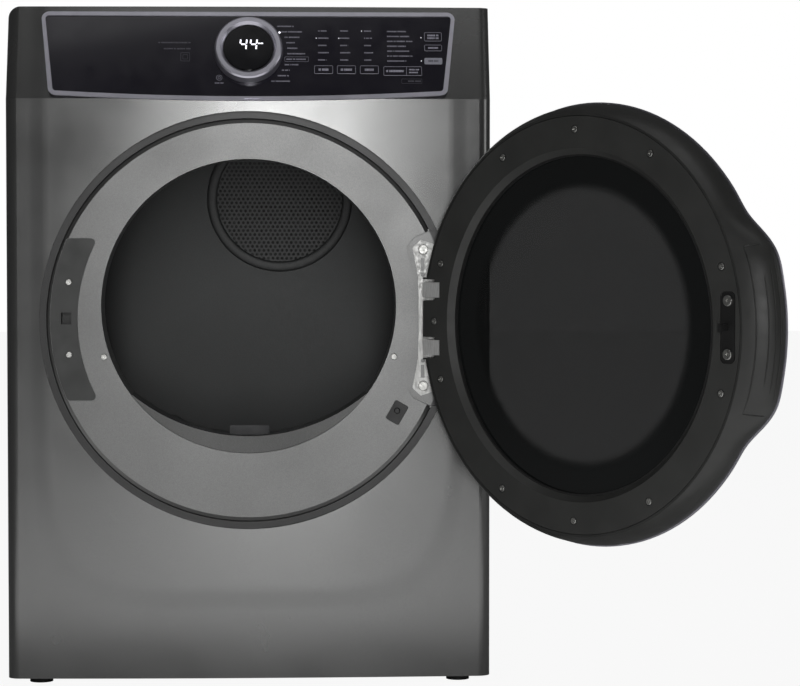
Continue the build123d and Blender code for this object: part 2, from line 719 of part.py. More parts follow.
def control_board():
    board = console_slab(Pos(95, 66) * Rectangle(370, 96), -16.0, -14.4)
    for x, z, width, tall in key_plan().values():
        board += console_slab(Pos(x, up_slope(z)) * Rectangle(6, 6), -14.5, -8.0)
    board += console_slab(Pos(0, up_slope(KNOB_Z)) * Rectangle(60, 40), -14.5, -9.0)
    board += console_slab(Pos(-50, 40) * Rectangle(36, 22), -28.0, -15.9)
    return board


# ---------- air path ----------

def filter_housing():
    """The ledge in the opening with the duct and the lower chamber behind the front."""
    front, rear = FRONT_Y + 2.5, NECK_END_Y
    ledge = Circle(OPENING_R - 0.3)
    ledge = Pos(0, OPENING_Z) * ledge
    body = slab_y(ledge, front, rear) & box(-166, 166, front, rear, 300, 430)
    y0, y1 = FILTER_Y - 14, FILTER_Y + 14
    body += box(-110, 110, y0 - 2, y1 + 2, 186, 400)
    body -= slab_y(Pos(0, LEDGE_Z) * Circle(LEDGE_R), FRONT_Y - 5, rear + 5)
    body += box(-178, 112, y0 - 2, FRONT_BULKHEAD_Y - 1.5, 40, 190)
    body -= box(-175, 109, y0 + 0.5, FRONT_BULKHEAD_Y - 4, 43, 187)
    half = FILTER_HALF + 0.5
    slot = FILTER_T / 2 + 0.5
    body -= box(-half, half, FILTER_Y - slot, FILTER_Y + slot, 180, 420)
    body -= rod_y(MOTOR_X, MOTOR_Z, FRONT_BULKHEAD_Y - 10, FRONT_BULKHEAD_Y + 5, INLET_R)
    return body


def lint_filter():
    """A flat screen box with an open middle, closed sides and a grip along its top."""
    half, t = FILTER_HALF, FILTER_T / 2
    frame = box(-half, half, FILTER_Y - t, FILTER_Y + t, FILTER_FOOT_Z, 400)
    frame -= slab_y(Pos(0, LEDGE_Z) * Circle(LEDGE_R - 0.4), FRONT_Y, 0)
    frame -= box(-half + 8, half - 8, FILTER_Y - t + 1.5, FILTER_Y + t - 1.5, FILTER_FOOT_Z + 8, 337)
    for row in range(4):
        for column in range(4):
            x = -half + 12 + column * 46.5
            z = FILTER_FOOT_Z + 14 + row * 45
            frame -= box(x, x + 39, FILTER_Y - 20, FILTER_Y + 20, z, z + 38)
    frame += box(-28, 28, FILTER_Y - 3, FILTER_Y + 3, 350, 368)
    return frame


def front_bulkhead():
    y = FRONT_BULKHEAD_Y
    plate = box(-HALF_W + 4, HALF_W - 4, y - SHEET, y, 36, SKIRT_Z - 8)
    plate += tube_y(0, DRUM_Z, y - 1, y + 9, 247.5, 246)
    plate -= slab_y(Pos(0, OPENING_Z) * Circle(OPENING_R + 3.6), y - 10, y + 1)
    plate -= rod_y(MOTOR_X, MOTOR_Z, y - 5, y + 5, INLET_R + 2)
    return plate


def felt_seals():
    """The front ring the drum's neck slides on and the rear ring its back edge rubs."""
    front = tube_y(0, DRUM_Z, FRONT_BULKHEAD_Y + 0.6, FRONT_BULKHEAD_Y + 9, 250.1, 247.8)
    rear = tube_y(0, DRUM_Z, DRUM_REAR_Y + 0.4, REAR_BULKHEAD_Y - 0.3, 320, 306)
    return group([front, rear])


def rear_bulkhead():
    y = REAR_BULKHEAD_Y
    plate = box(-HALF_W + 4, HALF_W - 4, y, y + SHEET, 36, SKIRT_Z - 8)
    plate += tube_y(0, DRUM_Z, y - 3.0, y + 0.5, 323.5, 321)
    plate -= rod_y(GRILLE_X, GRILLE_Z, y - 5, y + 5, GRILLE_R - 8)
    plate -= rod_y(DUCT_X, DUCT_Z, y - 5, y + 5, DUCT_R + 3)
    plate -= box(HEATER_X0 - 1, HEATER_X1 + 1, y - 5, y + 5, HEATER_Z0 - 1, HEATER_Z1 + 1)
    for x, z in roller_spots():
        plate -= rod_y(x, z, y - 5, y + 5, AXLE_R + RUNNING)
    return plate


def air_inlet_grille():
    """The perforated round grille in the drum's rear wall, with a raised rim."""
    y = REAR_BULKHEAD_Y
    disc = Circle(GRILLE_R - 4)
    pitch, hole_r, field = 11.0, 3.3, GRILLE_R - 14
    spots = []
    for row in range(-12, 13):
        for column in range(-12, 13):
            x = (column + 0.5 * (row % 2)) * pitch
            z = row * pitch * 0.866
            if hypot(x, z) < field:
                spots.append((x, z))
    disc -= [Pos(x, z) * Circle(hole_r) for x, z in spots]
    grille = slab_y(Pos(GRILLE_X, GRILLE_Z) * disc, y - 2.2, y - 0.8)
    return grille + tube_y(GRILLE_X, GRILLE_Z, y - 5.0, y - 0.3, GRILLE_R, GRILLE_R - 6)


def heater_box():
    """The electric heater's case with the flat duct that climbs behind the rear bulkhead."""
    y = REAR_BULKHEAD_Y
    x0, x1, z0, z1 = HEATER_X0, HEATER_X1, HEATER_Z0, HEATER_Z1
    y0, y1 = y + SHEET + 0.5, REAR_Y - 6
    middle = (x0 + x1) / 2
    case = box(x0, x1, 60, y1 - 8, z0, z1)
    riser = polygon([
        (x0, z0), (x1, z0), (x1, 240), (middle - 65, GRILLE_Z - 40), (GRILLE_X + 40, GRILLE_Z - 100), (x0, 240),
    ])
    duct = slab_y(riser, y0, y1) + rod_y(GRILLE_X, GRILLE_Z, y0, y1, GRILLE_R + 6)
    inner = slab_y(offset(riser, -1.5), y0 - 5, y1 - 1.5)
    inner += rod_y(GRILLE_X, GRILLE_Z, y0 - 5, y1 - 1.5, GRILLE_R + 4.5)
    bore = box(x0 + 1.5, x1 - 1.5, 0, y1 - 1.5, z0 + 1.5, z1 - 1.5)
    return case + duct - inner - bore


def heater_element():
    """Three flat zigzags of resistance rod on two insulating combs."""
    y0, y1, pitch, rod_r = 90, 280, 15, 2.0
    left = HEATER_X0 + 16
    element = box(HEATER_X0 + 4, HEATER_X1 - 4, y0 + 38, y0 + 41, HEATER_Z0 + 9, HEATER_Z1 - 9)
    element += box(HEATER_X0 + 4, HEATER_X1 - 4, y1 - 41, y1 - 38, HEATER_Z0 + 9, HEATER_Z1 - 9)
    for level in range(3):
        z = HEATER_Z0 + 29 + 28 * level
        for k in range(7):
            x = left + pitch * k
            element += rod_y(x, z, y0, y1, rod_r)
            if k < 6:
                y = y0 if k % 2 else y1
                element += Pos(x + pitch / 2, y, z) * Rot(0, 90, 0) * Cylinder(rod_r, pitch)
    return element


def blower_housing():
    y0, y1 = FRONT_BULKHEAD_Y + 1.0, FRONT_BULKHEAD_Y + 77
    low, high = DUCT_Z - 56, DUCT_Z + 56
    body = rod_y(MOTOR_X, MOTOR_Z, y0, y1, BLOWER_R) + box(MOTOR_X, DUCT_X + 56, y0, y1, low, high)
    hollow = rod_y(MOTOR_X, MOTOR_Z, y0 + 2, y1 - 2, BLOWER_R - 2)
    hollow += box(MOTOR_X, DUCT_X + 54, y0 + 2, y1 - 2, low + 2, high - 2)
    body -= hollow
    body -= rod_y(MOTOR_X, MOTOR_Z, y0 - 5, y0 + 5, INLET_R)
    body -= rod_y(MOTOR_X, MOTOR_Z, y1 - 5, y1 + 5, 14)
    body += rod_y(DUCT_X, DUCT_Z, y1 - 1, y1 + 20, DUCT_R + 2.5)
    return body - rod_y(DUCT_X, DUCT_Z, y1 - 5, y1 + 30, DUCT_R + 0.3)


def exhaust_duct():
    y0 = FRONT_BULKHEAD_Y + 80
    duct = tube_y(DUCT_X, DUCT_Z, y0, REAR_Y + 33, DUCT_R, DUCT_R - 1)
    for y in (-60, 120, 300):
        duct += tube_y(DUCT_X, DUCT_Z, y, y + 5, DUCT_R + 1.4, DUCT_R - 0.5)
    return duct


def terminal_cover():
    cover = box(-262, -168, REAR_Y - 1.3, REAR_Y + 14, 690, 772)
    cover = fillet(cover.edges().filter_by(Axis.Y), 6)
    cover -= box(-258.5, -171.5, REAR_Y - 5, REAR_Y + 10.5, 693.5, 768.5)
    return cover - rod_y(-215, 731, REAR_Y, REAR_Y + 20, INLET_BORE_R)


# ---------- drum and drive ----------

def drum_shell():
    r, t = DRUM_R, DRUM_T
    front = DRUM_FRONT_Y
    outer = [
        (DRUM_NECK_R, front), (DRUM_NECK_R, front + 9), (r - 6, front + 30), (r, front + 38),
        (r, front + 190), (r - 2, front + 194), (r - 2, front + 204), (r, front + 208),
        (r, DRUM_REAR_Y - 130), (r - 2, DRUM_REAR_Y - 126), (r - 2, DRUM_REAR_Y - 116), (r, DRUM_REAR_Y - 112),
        (r, DRUM_REAR_Y),
    ]
    inner = [(radius - t, y) for radius, y in outer]
    inner[1] = (DRUM_NECK_R - t, front + 9 + t)
    inner[2] = (r - 6 - t, front + 30 + t)
    inner[-1] = (r - t, DRUM_REAR_Y - t)
    lip = [(r - 14, DRUM_REAR_Y - t), (r - 14, DRUM_REAR_Y)]
    return turned(outer + lip[::-1] + inner[::-1], 0, DRUM_Z)


def drum_baffles():
    """Three rounded hollow lifter vanes inside the drum."""
    vanes = []
    foot = DRUM_R - DRUM_T - 6.0
    front, rear = DRUM_FRONT_Y + 60, DRUM_REAR_Y - 25
    corners = [(-42, 2.6), (-30, 3.4), (30, 3.4), (42, 2.6), (16, -52), (7, -60), (-7, -60), (-16, -52)]
    profile = polygon(corners)
    profile = fillet(profile.vertices().group_by(Axis.Y)[0], 5)
    core = polygon([(-34, 8), (34, 8), (12, -51), (5, -57), (-5, -57), (-12, -51)])
    for turn in (90, 210, 330):
        vane = slab_y(Pos(0, foot) * profile, front, rear)
        vane = vane & rod_y(0, 0, DRUM_FRONT_Y, DRUM_REAR_Y, DRUM_R - DRUM_T - 2.4)
        vane -= slab_y(Pos(0, foot) * core, front + 3, rear - 3)
        vanes.append(Pos(0, 0, DRUM_Z) * Rot(0, turn, 0) * vane)
    return group(vanes)


def roller_spots():
    reach = DRUM_R + ROLLER_R + BELT_GAP
    a = radians(ROLLER_DEG)
    return [(side * reach * sin(a), DRUM_Z - reach * cos(a)) for side in (-1, 1)]


def roller_y():
    return DRUM_REAR_Y - 50


def drum_roller(x, z):
    y = roller_y()
    roller = rod_y(x, z, y, y + ROLLER_W, ROLLER_R)
    roller = fillet(roller.edges(), 1.5)
    for face_y in (y, y + ROLLER_W):
        roller -= tube_y(x, z, face_y - 4, face_y + 4, ROLLER_R - 9, 11)
    return roller - rod_y(x, z, y - 5, y + 40, AXLE_R + RUNNING)


def roller_shafts():
    shafts = []
    for x, z in roller_spots():
        y = roller_y()
        shaft = rod_y(x, z, y - 3, REAR_BULKHEAD_Y + 6, AXLE_R)
        shaft += rod_y(x, z, REAR_BULKHEAD_Y - 6, REAR_BULKHEAD_Y - 0.1, AXLE_R + 4)
        shaft += rod_y(x, z, y - 5, y - 0.6, AXLE_R + 3)
        shafts.append(shaft)
    return group(shafts)


def belt_loop(thickness):
    """The belt's closed path seen from the front: round the drum and the pulley, outside the idler."""
    middle = BELT_GAP + BELT_T / 2
    wheels = [
        ((0, DRUM_Z), DRUM_R + middle, 1),
        ((MOTOR_X, MOTOR_Z), PULLEY_R + middle, 1),
        ((IDLER_X, IDLER_Z), IDLER_R + middle, -1),
    ]
    wheels = [(centre, radius + turn * thickness, turn) for centre, radius, turn in wheels]
    leave, arrive = [], []
    for k in range(3):
        (x1, z1), r1, s1 = wheels[k]
        (x2, z2), r2, s2 = wheels[(k + 1) % 3]
        dx, dz = x2 - x1, z2 - z1
        length = hypot(dx, dz)
        along = (s1 * r1 - s2 * r2) / length
        across = sqrt(1 - along**2)
        nx = (along * dx + across * dz) / length
        nz = (along * dz - across * dx) / length
        leave.append((x1 + s1 * r1 * nx, z1 + s1 * r1 * nz))
        arrive.append((x2 + s2 * r2 * nx, z2 + s2 * r2 * nz))
    path = None
    for k in range(3):
        (cx, cz), radius, turn = wheels[k]
        start, end = arrive[k - 1], leave[k]
        a0 = atan2(start[1] - cz, start[0] - cx)
        a1 = atan2(end[1] - cz, end[0] - cx)
        sweep = (turn * (a1 - a0)) % (2 * pi)
        half = a0 + turn * sweep / 2
        middle_point = (cx + radius * cos(half), cz + radius * sin(half))
        arc = ThreePointArc(start, middle_point, end)
        path = arc if path is None else path + arc
        path += Line(leave[k], arrive[k])
    return make_face(path)


def drive_belt():
    band = belt_loop(BELT_T / 2) - belt_loop(-BELT_T / 2)
    return slab_y(band, BELT_Y - BELT_W / 2, BELT_Y + BELT_W / 2)


def drive_motor():
    y0, y1 = FRONT_BULKHEAD_Y + 88, BELT_Y - 18
    body = rod_y(MOTOR_X, MOTOR_Z, y0 + 12, y1 - 12, 58)
    for a, b in ((y0, y0 + 12), (y1 - 12, y1)):
        body += rod_y(MOTOR_X, MOTOR_Z, a, b, 50)
    body -= tube_y(MOTOR_X, MOTOR_Z, y0 + 22, y1 - 22, 53, 24)
    for k in range(6):
        vent = box(-5, 5, y0 + 30, y0 + 60, 45, 70)
        body -= Pos(MOTOR_X, 0, MOTOR_Z) * Rot(0, 30 * k - 75, 0) * vent
    for y in (y0 + 30, y1 - 42):
        cradle = box(MOTOR_X - 55, MOTOR_X + 55, y, y + 12, FLOOR_GAP + 7, MOTOR_Z - 38)
        cradle -= box(MOTOR_X - 44, MOTOR_X + 44, y - 5, y + 20, FLOOR_GAP + 12, MOTOR_Z - 66)
        body += cradle - rod_y(MOTOR_X, MOTOR_Z, y - 5, y + 20, 56)
    return body - rod_y(MOTOR_X, MOTOR_Z, y0 - 5, y1 + 5, AXLE_R + RUNNING)


def motor_pulley():
    y0, y1 = BELT_Y - BELT_W / 2 - 1.5, BELT_Y + BELT_W / 2 + 1.5
    pulley = rod_y(MOTOR_X, MOTOR_Z, y0, y1, PULLEY_R)
    pulley += rod_y(MOTOR_X, MOTOR_Z, y0 - 1.6, y0, PULLEY_R + 4)
    pulley += rod_y(MOTOR_X, MOTOR_Z, y1, y1 + 1.6, PULLEY_R + 4)
    return pulley + rod_y(MOTOR_X, MOTOR_Z, FRONT_BULKHEAD_Y + 28, y1 + 4, AXLE_R)


def blower_wheel():
    y0, y1 = FRONT_BULKHEAD_Y + 12, FRONT_BULKHEAD_Y + 64
    wheel = rod_y(MOTOR_X, MOTOR_Z, y1 - 3, y1, WHEEL_R) + rod_y(MOTOR_X, MOTOR_Z, y1 - 30, y1, 16)
    wheel += tube_y(MOTOR_X, MOTOR_Z, y0, y0 + 3, WHEEL_R, WHEEL_R - 22)
    for k in range(24):
        blade = box(WHEEL_R - 21, WHEEL_R - 1, y0 + 1, y1 - 1, -1, 1)
        wheel += Pos(MOTOR_X, 0, MOTOR_Z) * Rot(0, 15 * k, 0) * blade
    return wheel - rod_y(MOTOR_X, MOTOR_Z, y0, y1 + 5, AXLE_R + 0.02)


def idler_arm():
    y = BELT_Y + BELT_W / 2 + 4
    arm = box(IDLER_X - 9, IDLER_X + 9, y, y + 3, IDLER_PIVOT_Z, IDLER_Z)
    arm += rod_y(IDLER_X, IDLER_Z, y, y + 3, 12) + rod_y(IDLER_X, IDLER_PIVOT_Z, y, y + 3, 14)
    arm += rod_y(IDLER_X, IDLER_Z, BELT_Y - 9, y + 1, AXLE_R)
    return arm - rod_y(IDLER_X, IDLER_PIVOT_Z, y - 5, y + 8, AXLE_R + RUNNING)


def idler_pulley():
    y0, y1 = BELT_Y - BELT_W / 2 - 3, BELT_Y + BELT_W / 2 + 3
    wheel = rod_y(IDLER_X, IDLER_Z, y0, y1, IDLER_R)
    return wheel - rod_y(IDLER_X, IDLER_Z, y0 - 5, y1 + 5, AXLE_R + RUNNING)


def idler_post():
    """The bracket that stands on the base and carries the idler arm's pivot."""
    y = BELT_Y + BELT_W / 2 + 4
    post = rod_y(IDLER_X, IDLER_PIVOT_Z, y - 4, y + 16, AXLE_R)
    post += rod_y(IDLER_X, IDLER_PIVOT_Z, y - 4, y - 0.4, AXLE_R + 3)
    post += box(IDLER_X - 14, IDLER_X + 14, y + 4, y + 16, FLOOR_GAP + 3, IDLER_PIVOT_Z + 14)
    return post


# ---------- fasteners ----------

def cabinet_screws():
    screws = [screw_at(x, FRONT_Y - 0.1, z, 10) for x, z in ring_screw_spots()]
    screws += [screw_at(x, FRONT_Y - 0.7, z, 10) for x, z in latch_screw_spots()]
    screws += [screw_at(x, FRONT_Y + GROOVE_D - 2.7, z, 10, 7.0) for x, z in hinge_screw_spots()]
    for x, z in rear_screw_spots():
        screw = rod_y(x, z, REAR_Y - 1.4 + 1.6, REAR_Y + 2.6, SCREW_HEAD_R)
        screws.append(screw + rod_y(x, z, REAR_Y - 12, REAR_Y + 1, SCREW_R))
    return group(screws)


def main():
    os.makedirs("parts", exist_ok=True)
    save("front_panel", front_panel())
    save("top_panel", top_panel())
    save("side_panel_left", side_panel(-1))
    save("side_panel_right", side_panel(1))
    save("rear_panel", rear_panel())
    save("base_pan", base_pan())
    save("door_frame", door_frame())
    save("door_latch", door_latch())
    save("door_switch_body", door_switch_body())
    save("door_switch_plunger", door_switch_plunger())
    save("hinge_bracket", hinge_bracket())
    save("cabinet_screws", cabinet_screws())
    for name, spot in zip(("front_left", "front_right", "rear_left", "rear_right"), foot_spots()):
        save(f"foot_{name}", levelling_foot(*spot))
    door = {
        "door_inner_panel": door_inner_panel,
        "door_inner_glass": door_inner_glass,
        "door_shell": door_shell,
        "door_trim": door_trim,
        "door_outer_glass": door_outer_glass,
        "door_gasket": door_gasket,
        "door_strike": door_strike,
        "door_screws": door_screws,
        "door_hinge_leaves": door_hinge_leaves,
    }
    for name, build in door.items():
        save(name, swing_open(build()))
    save("console_fascia", console_fascia())
    save("console_trim", console_trim())
    save("selector_ring", selector_ring())
    save("display_window", display_window())
    save("control_board", control_board())
    save("key_power", power_key())
    for name, (x, z, width, tall) in key_plan().items():
        save(name, push_key(x, z, width, tall))
    save("filter_housing", filter_housing())
    save("lint_filter", lint_filter())
    save("front_bulkhead", front_bulkhead())
    save("rear_bulkhead", rear_bulkhead())
    save("felt_seals", felt_seals())
    save("air_inlet_grille", air_inlet_grille())
    save("heater_box", heater_box())
    save("heater_element", heater_element())
    save("blower_housing", blower_housing())
    save("blower_wheel", blower_wheel())
    save("exhaust_duct", exhaust_duct())
    save("terminal_cover", terminal_cover())
    save("drum_shell", drum_shell())
    save("drum_baffles", drum_baffles())
    for name, spot in zip(("left", "right"), roller_spots()):
        save(f"roller_{name}", drum_roller(*spot))
    save("roller_shafts", roller_shafts())
    save("drive_belt", drive_belt())
    save("drive_motor", drive_motor())
    save("motor_pulley", motor_pulley())
    save("idler_arm", idler_arm())
    save("idler_pulley", idler_pulley())


main()
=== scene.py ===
import json
from math import cos, radians, sin, sqrt

import bpy
import numpy as np
from mathutils import Euler, Matrix, Vector


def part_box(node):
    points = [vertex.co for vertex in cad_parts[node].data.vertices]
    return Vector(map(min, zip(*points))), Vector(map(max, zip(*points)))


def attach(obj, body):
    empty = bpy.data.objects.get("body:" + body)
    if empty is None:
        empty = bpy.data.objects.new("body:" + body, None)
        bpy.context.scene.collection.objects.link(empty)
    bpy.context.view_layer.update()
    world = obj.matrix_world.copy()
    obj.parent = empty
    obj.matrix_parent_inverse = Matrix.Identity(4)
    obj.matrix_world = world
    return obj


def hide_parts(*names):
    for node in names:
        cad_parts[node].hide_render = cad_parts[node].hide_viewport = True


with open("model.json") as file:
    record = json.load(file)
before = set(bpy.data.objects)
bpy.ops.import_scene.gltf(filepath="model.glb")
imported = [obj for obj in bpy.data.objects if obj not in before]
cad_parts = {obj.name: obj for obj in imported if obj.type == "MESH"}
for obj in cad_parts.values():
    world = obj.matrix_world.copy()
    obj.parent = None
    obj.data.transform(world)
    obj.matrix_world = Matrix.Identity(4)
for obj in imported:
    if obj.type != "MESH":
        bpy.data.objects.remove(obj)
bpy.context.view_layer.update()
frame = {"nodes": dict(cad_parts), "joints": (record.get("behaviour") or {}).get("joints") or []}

bl_info = {
    "name": "Clothes dryer finish",
    "version": (1, 0, 0),
    "blender": (4, 5, 0),
    "location": "3D View > Sidebar > Dryer",
    "description": "Finishes a front-loading clothes dryer and builds its printed and pressed details",
    "category": "Object",
}

NODES = frame["nodes"]
JOINTS = {joint["name"]: joint for joint in frame["joints"]}
MM = 0.001


def middle(node):
    """The centre of a node's box."""
    low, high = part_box(node)
    return (low + high) / 2


# The leaning console: its origin is the dial's centre, X runs right and S runs up the slope.
DIAL = Vector(JOINTS["selector_turn"]["pos_m"])
CONSOLE_OUT = Vector(JOINTS["selector_turn"]["axis"]).normalized()
CONSOLE_RIGHT = Vector((1.0, 0.0, 0.0))
CONSOLE_UP = CONSOLE_OUT.cross(CONSOLE_RIGHT).normalized()
FASCIA_LIFT = 1.0
KEY_LIFT = 1.8
KEY_DEPTH = 7.8
DISPLAY_LIFT = 13.7
PRINT_SINK = 0.05
PRINT_THICK = 0.16

# The door: drawn closed, then turned to where it stands open.
HINGE = Vector(JOINTS["door_hinge"]["pos_m"])
SHUT_ANGLE = radians(JOINTS["door_hinge"]["range_deg"][0])
RING_CENTRE = middle("door_frame")
DOOR_INNER_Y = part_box("front_panel")[0].y - 4 * MM
GROOVE_EDGE_R = 285.6 * MM
OUTER_PANE_BORDER = 0.246

# The handle lobe of the door, in millimetres: depths from the door's inner face, its plain radius,
# how far the lobe stands out, and what each depth has of the lobe and of the rounding behind it.
LOBE_DEPTHS = (0.0, 12.0, 26.0, 38.0)
LOBE_PLAIN_R = 297.0
LOBE_OUT = 25.5
LOBE_SHARES = (0.0, 0.45, 0.85, 1.0)
LOBE_ROUNDING = (-13.5, -5.5, -1.5, 0.0)
LOBE_FULL_DEG = 16.0
LOBE_FADE_DEG = 16.0

# The soft pressing of the lower front: an oval about the opening's centre.
PRESSING_HALF_WIDE = 0.290
PRESSING_HALF_TALL = 0.385
PRESSING_POWER = 5.0
PRESSING_EDGE = (0.97, 1.07)
PRESSING_STEP = 0.4
PRESSING_SLOPE = 3.0

# The camera, in metres and degrees.
EYE = (0.0655, -4.2039, 0.6374)
EYE_YAW = 2.218
EYE_PITCH = 2.252


# ---------- settings ----------

def colour(label, text, value):
    return bpy.props.FloatVectorProperty(
        name=label, description=text, subtype="COLOR", size=3, min=0, max=1, default=value)


def share(label, text, value):
    return bpy.props.FloatProperty(
        name=label, description=text, subtype="FACTOR", min=0, max=1, default=value)


def length(label, text, value):
    return bpy.props.FloatProperty(
        name=label, description=text, subtype="DISTANCE", unit="LENGTH", min=0, default=value)


class DryerPaint(bpy.types.PropertyGroup):
    """Sheet metal and moulded finishes."""
    front: colour("Front", "Metallic paint of the front sheet", (0.208, 0.209, 0.207))
    ring: colour("Ring", "Metallic finish of the ring round the opening", (0.165, 0.166, 0.164))
    sides: colour("Sides", "Paint of the sides and lid", (0.045, 0.047, 0.046))
    roughness: share("Roughness", "How soft the paint's reflections are", 0.235)
    flake: length("Flake", "Size of the metal flakes in the paint", 0.0009)
    crease: length("Crease", "Depth of the soft pressing across the lower front", 0.0012)


class DryerConsole(bpy.types.PropertyGroup):
    """The control console."""
    fascia: colour("Fascia", "Gloss plastic of the panel", (0.0125, 0.0110, 0.0190))
    trim: colour("Trim", "Satin silver of the frame and dial", (0.64, 0.63, 0.71))
    ink: colour("Ink", "Printed rows and outlines", (0.36, 0.35, 0.42))
    glow: colour("Glow", "Lit digits and lamps", (0.93, 0.92, 1.0))
    glow_strength: bpy.props.FloatProperty(
        name="Glow strength", description="Brightness of the lit digits", min=0, default=1.5)


class DryerDoor(bpy.types.PropertyGroup):
    """The door and its window."""
    plastic: colour("Plastic", "Moulded door body", (0.034, 0.0345, 0.033))
    glass: colour("Glass", "Tint of the window", (0.010, 0.011, 0.011))
    clear: share("Clearness", "Share of light that each pane lets through", 0.145)
    border: length("Border", "Inner radius of the window's printed black border", 0.197)
    border_soft: length("Border fade", "Width over which the border fades out", 0.020)


class DryerDrum(bpy.types.PropertyGroup):
    """The drum and what stands round it."""
    shell: colour("Drum", "Enamel inside the drum", (0.125, 0.128, 0.128))
    pitch: length("Hole pitch", "Spacing of the air inlet's holes", 0.0076)
    hole: length("Hole radius", "Radius of the air inlet's holes", 0.0025)


class DryerStage(bpy.types.PropertyGroup):
    """Camera, floor and light."""
    floor: colour("Floor", "Pale floor", (0.86, 0.86, 0.86))
    key_power: bpy.props.FloatProperty(
        name="Key light", description="Power of the tall softbox in front, in watts", min=0, default=50)
    low_power: bpy.props.FloatProperty(
        name="Low light", description="Power of the softbox on the floor in front, in watts",
        min=0, default=7)
    fill: bpy.props.FloatProperty(
        name="Fill", description="Strength of the even light all round", min=0, default=0.06)
    lens: bpy.props.FloatProperty(
        name="Lens", description="Focal length in millimetres on a 36 mm sensor", min=1, default=121.78)


# ---------- shader helpers ----------

class Shader:
    """A node material with one Principled shader, and short ways to add what feeds it."""

    def __init__(self, name, base, roughness, metallic=0.0):
        self.material = bpy.data.materials.new(name)
        self.material.use_nodes = True
        self.nodes = self.material.node_tree.nodes
        self.links = self.material.node_tree.links
        self.principled = self.nodes["Principled BSDF"]
        self.set("Base Color", (*base, 1.0))
        self.set("Roughness", roughness)
        self.set("Metallic", metallic)
        self.object_coords = self.nodes.new("ShaderNodeTexCoord").outputs["Object"]

    def set(self, socket, value):
        self.principled.inputs[socket].default_value = value

    def link(self, output, socket):
        self.links.new(output, self.principled.inputs[socket])

    def math(self, operation, first, second=None, clamp=False):
        node = self.nodes.new("ShaderNodeMath")
        node.operation = operation
        node.use_clamp = clamp
        for index, value in enumerate((first, second)):
            if isinstance(value, bpy.types.NodeSocket):
                self.links.new(value, node.inputs[index])
            elif value is not None:
                node.inputs[index].default_value = value
        return node.outputs[0]

    def stretched(self, scale):
        """Object coordinates scaled along each axis, for grain that runs one way."""
        node = self.nodes.new("ShaderNodeMapping")
        node.inputs["Scale"].default_value = scale
        self.links.new(self.object_coords, node.inputs["Vector"])
        return node.outputs[0]

    def noise(self, size, detail=3.0, vector=None):
        """Noise whose lumps are about size metres across, from 0 to 1."""
        node = self.nodes.new("ShaderNodeTexNoise")
        node.inputs["Scale"].default_value = 1.0 / size
        node.inputs["Detail"].default_value = detail
        self.links.new(vector or self.object_coords, node.inputs["Vector"])
        return node.outputs["Fac"]

    def cells(self, size, output="Color"):
        """Random cells about size metres across."""
        node = self.nodes.new("ShaderNodeTexVoronoi")
        node.inputs["Scale"].default_value = 1.0 / size
        self.links.new(self.object_coords, node.inputs["Vector"])
        return node.outputs[output]

    def between(self, factor, low, high):
        """A number that runs from low to high as factor runs from 0.3 to 0.7."""
        node = self.nodes.new("ShaderNodeMapRange")
        node.inputs["From Min"].default_value = 0.3
        node.inputs["From Max"].default_value = 0.7
        node.inputs["To Min"].default_value = low
        node.inputs["To Max"].default_value = high
        self.links.new(factor, node.inputs["Value"])
        return node.outputs["Result"]

    def blend_colours(self, factor, low, high):
        node = self.nodes.new("ShaderNodeValToRGB")
        node.color_ramp.elements[0].position = 0.3
        node.color_ramp.elements[0].color = (*low, 1.0)
        node.color_ramp.elements[1].position = 0.7
        node.color_ramp.elements[1].color = (*high, 1.0)
        self.links.new(factor, node.inputs["Fac"])
        return node.outputs["Color"]

    def bump(self, height, depth, strength=1.0, normal=None):
        """A bump from a height between 0 and 1, depth metres deep."""
        node = self.nodes.new("ShaderNodeBump")
        node.inputs["Strength"].default_value = strength
        node.inputs["Distance"].default_value = depth
        self.links.new(height, node.inputs["Height"])
        if normal is not None:
            self.links.new(normal, node.inputs["Normal"])
        self.link(node.outputs["Normal"], "Normal")
        return node.outputs["Normal"]


def shade(base, factor):
    """The same colour, lighter or darker."""
    return tuple(min(1.0, channel * factor) for channel in base)


def metallic_paint(name, base, roughness, flake):
    """Sprayed metallic paint: flakes under a lacquer with a little orange peel."""
    s = Shader(name, base, roughness, 0.88)
    s.link(s.blend_colours(s.noise(flake, 1.0), shade(base, 0.88), shade(base, 1.14)), "Base Color")
    s.link(s.between(s.noise(0.12), roughness - 0.03, roughness + 0.04), "Roughness")
    s.set("Coat Weight", 0.15)
    s.set("Coat Roughness", 0.25)
    s.bump(s.noise(0.0035, 2.0), 0.00002)
    return s


def moulded_plastic(name, base, roughness, grain=0.0011, depth=0.00004):
    """Moulded plastic with a fine spark-eroded grain and faint cloudiness."""
    s = Shader(name, base, roughness)
    s.link(s.blend_colours(s.noise(0.05), shade(base, 0.88), shade(base, 1.12)), "Base Color")
    s.link(s.between(s.noise(0.02), roughness - 0.05, roughness + 0.06), "Roughness")
    s.bump(s.noise(grain, 4.0), depth)
    return s


def gloss_plastic(name, base):
    """Polished plastic with the long, faint waviness of a moulded panel."""
    s = Shader(name, base, 0.14)
    s.link(s.between(s.noise(0.03), 0.10, 0.19), "Roughness")
    s.link(s.blend_colours(s.noise(0.08), shade(base, 0.92), shade(base, 1.08)), "Base Color")
    s.set("Coat Weight", 0.5)
    s.set("Coat Roughness", 0.06)
    s.bump(s.noise(0.03, 1.0), 0.00003)
    return s


def galvanised_steel(name, base=(0.42, 0.43, 0.44)):
    """Hot-dipped zinc with its crystal spangle."""
    s = Shader(name, base, 0.42, 0.85)
    cell = s.cells(0.014)
    s.link(s.blend_colours(cell, shade(base, 0.78), shade(base, 1.14)), "Base Color")
    s.link(s.between(cell, 0.32, 0.52), "Roughness")
    s.bump(s.noise(0.002), 0.00003)
    return s


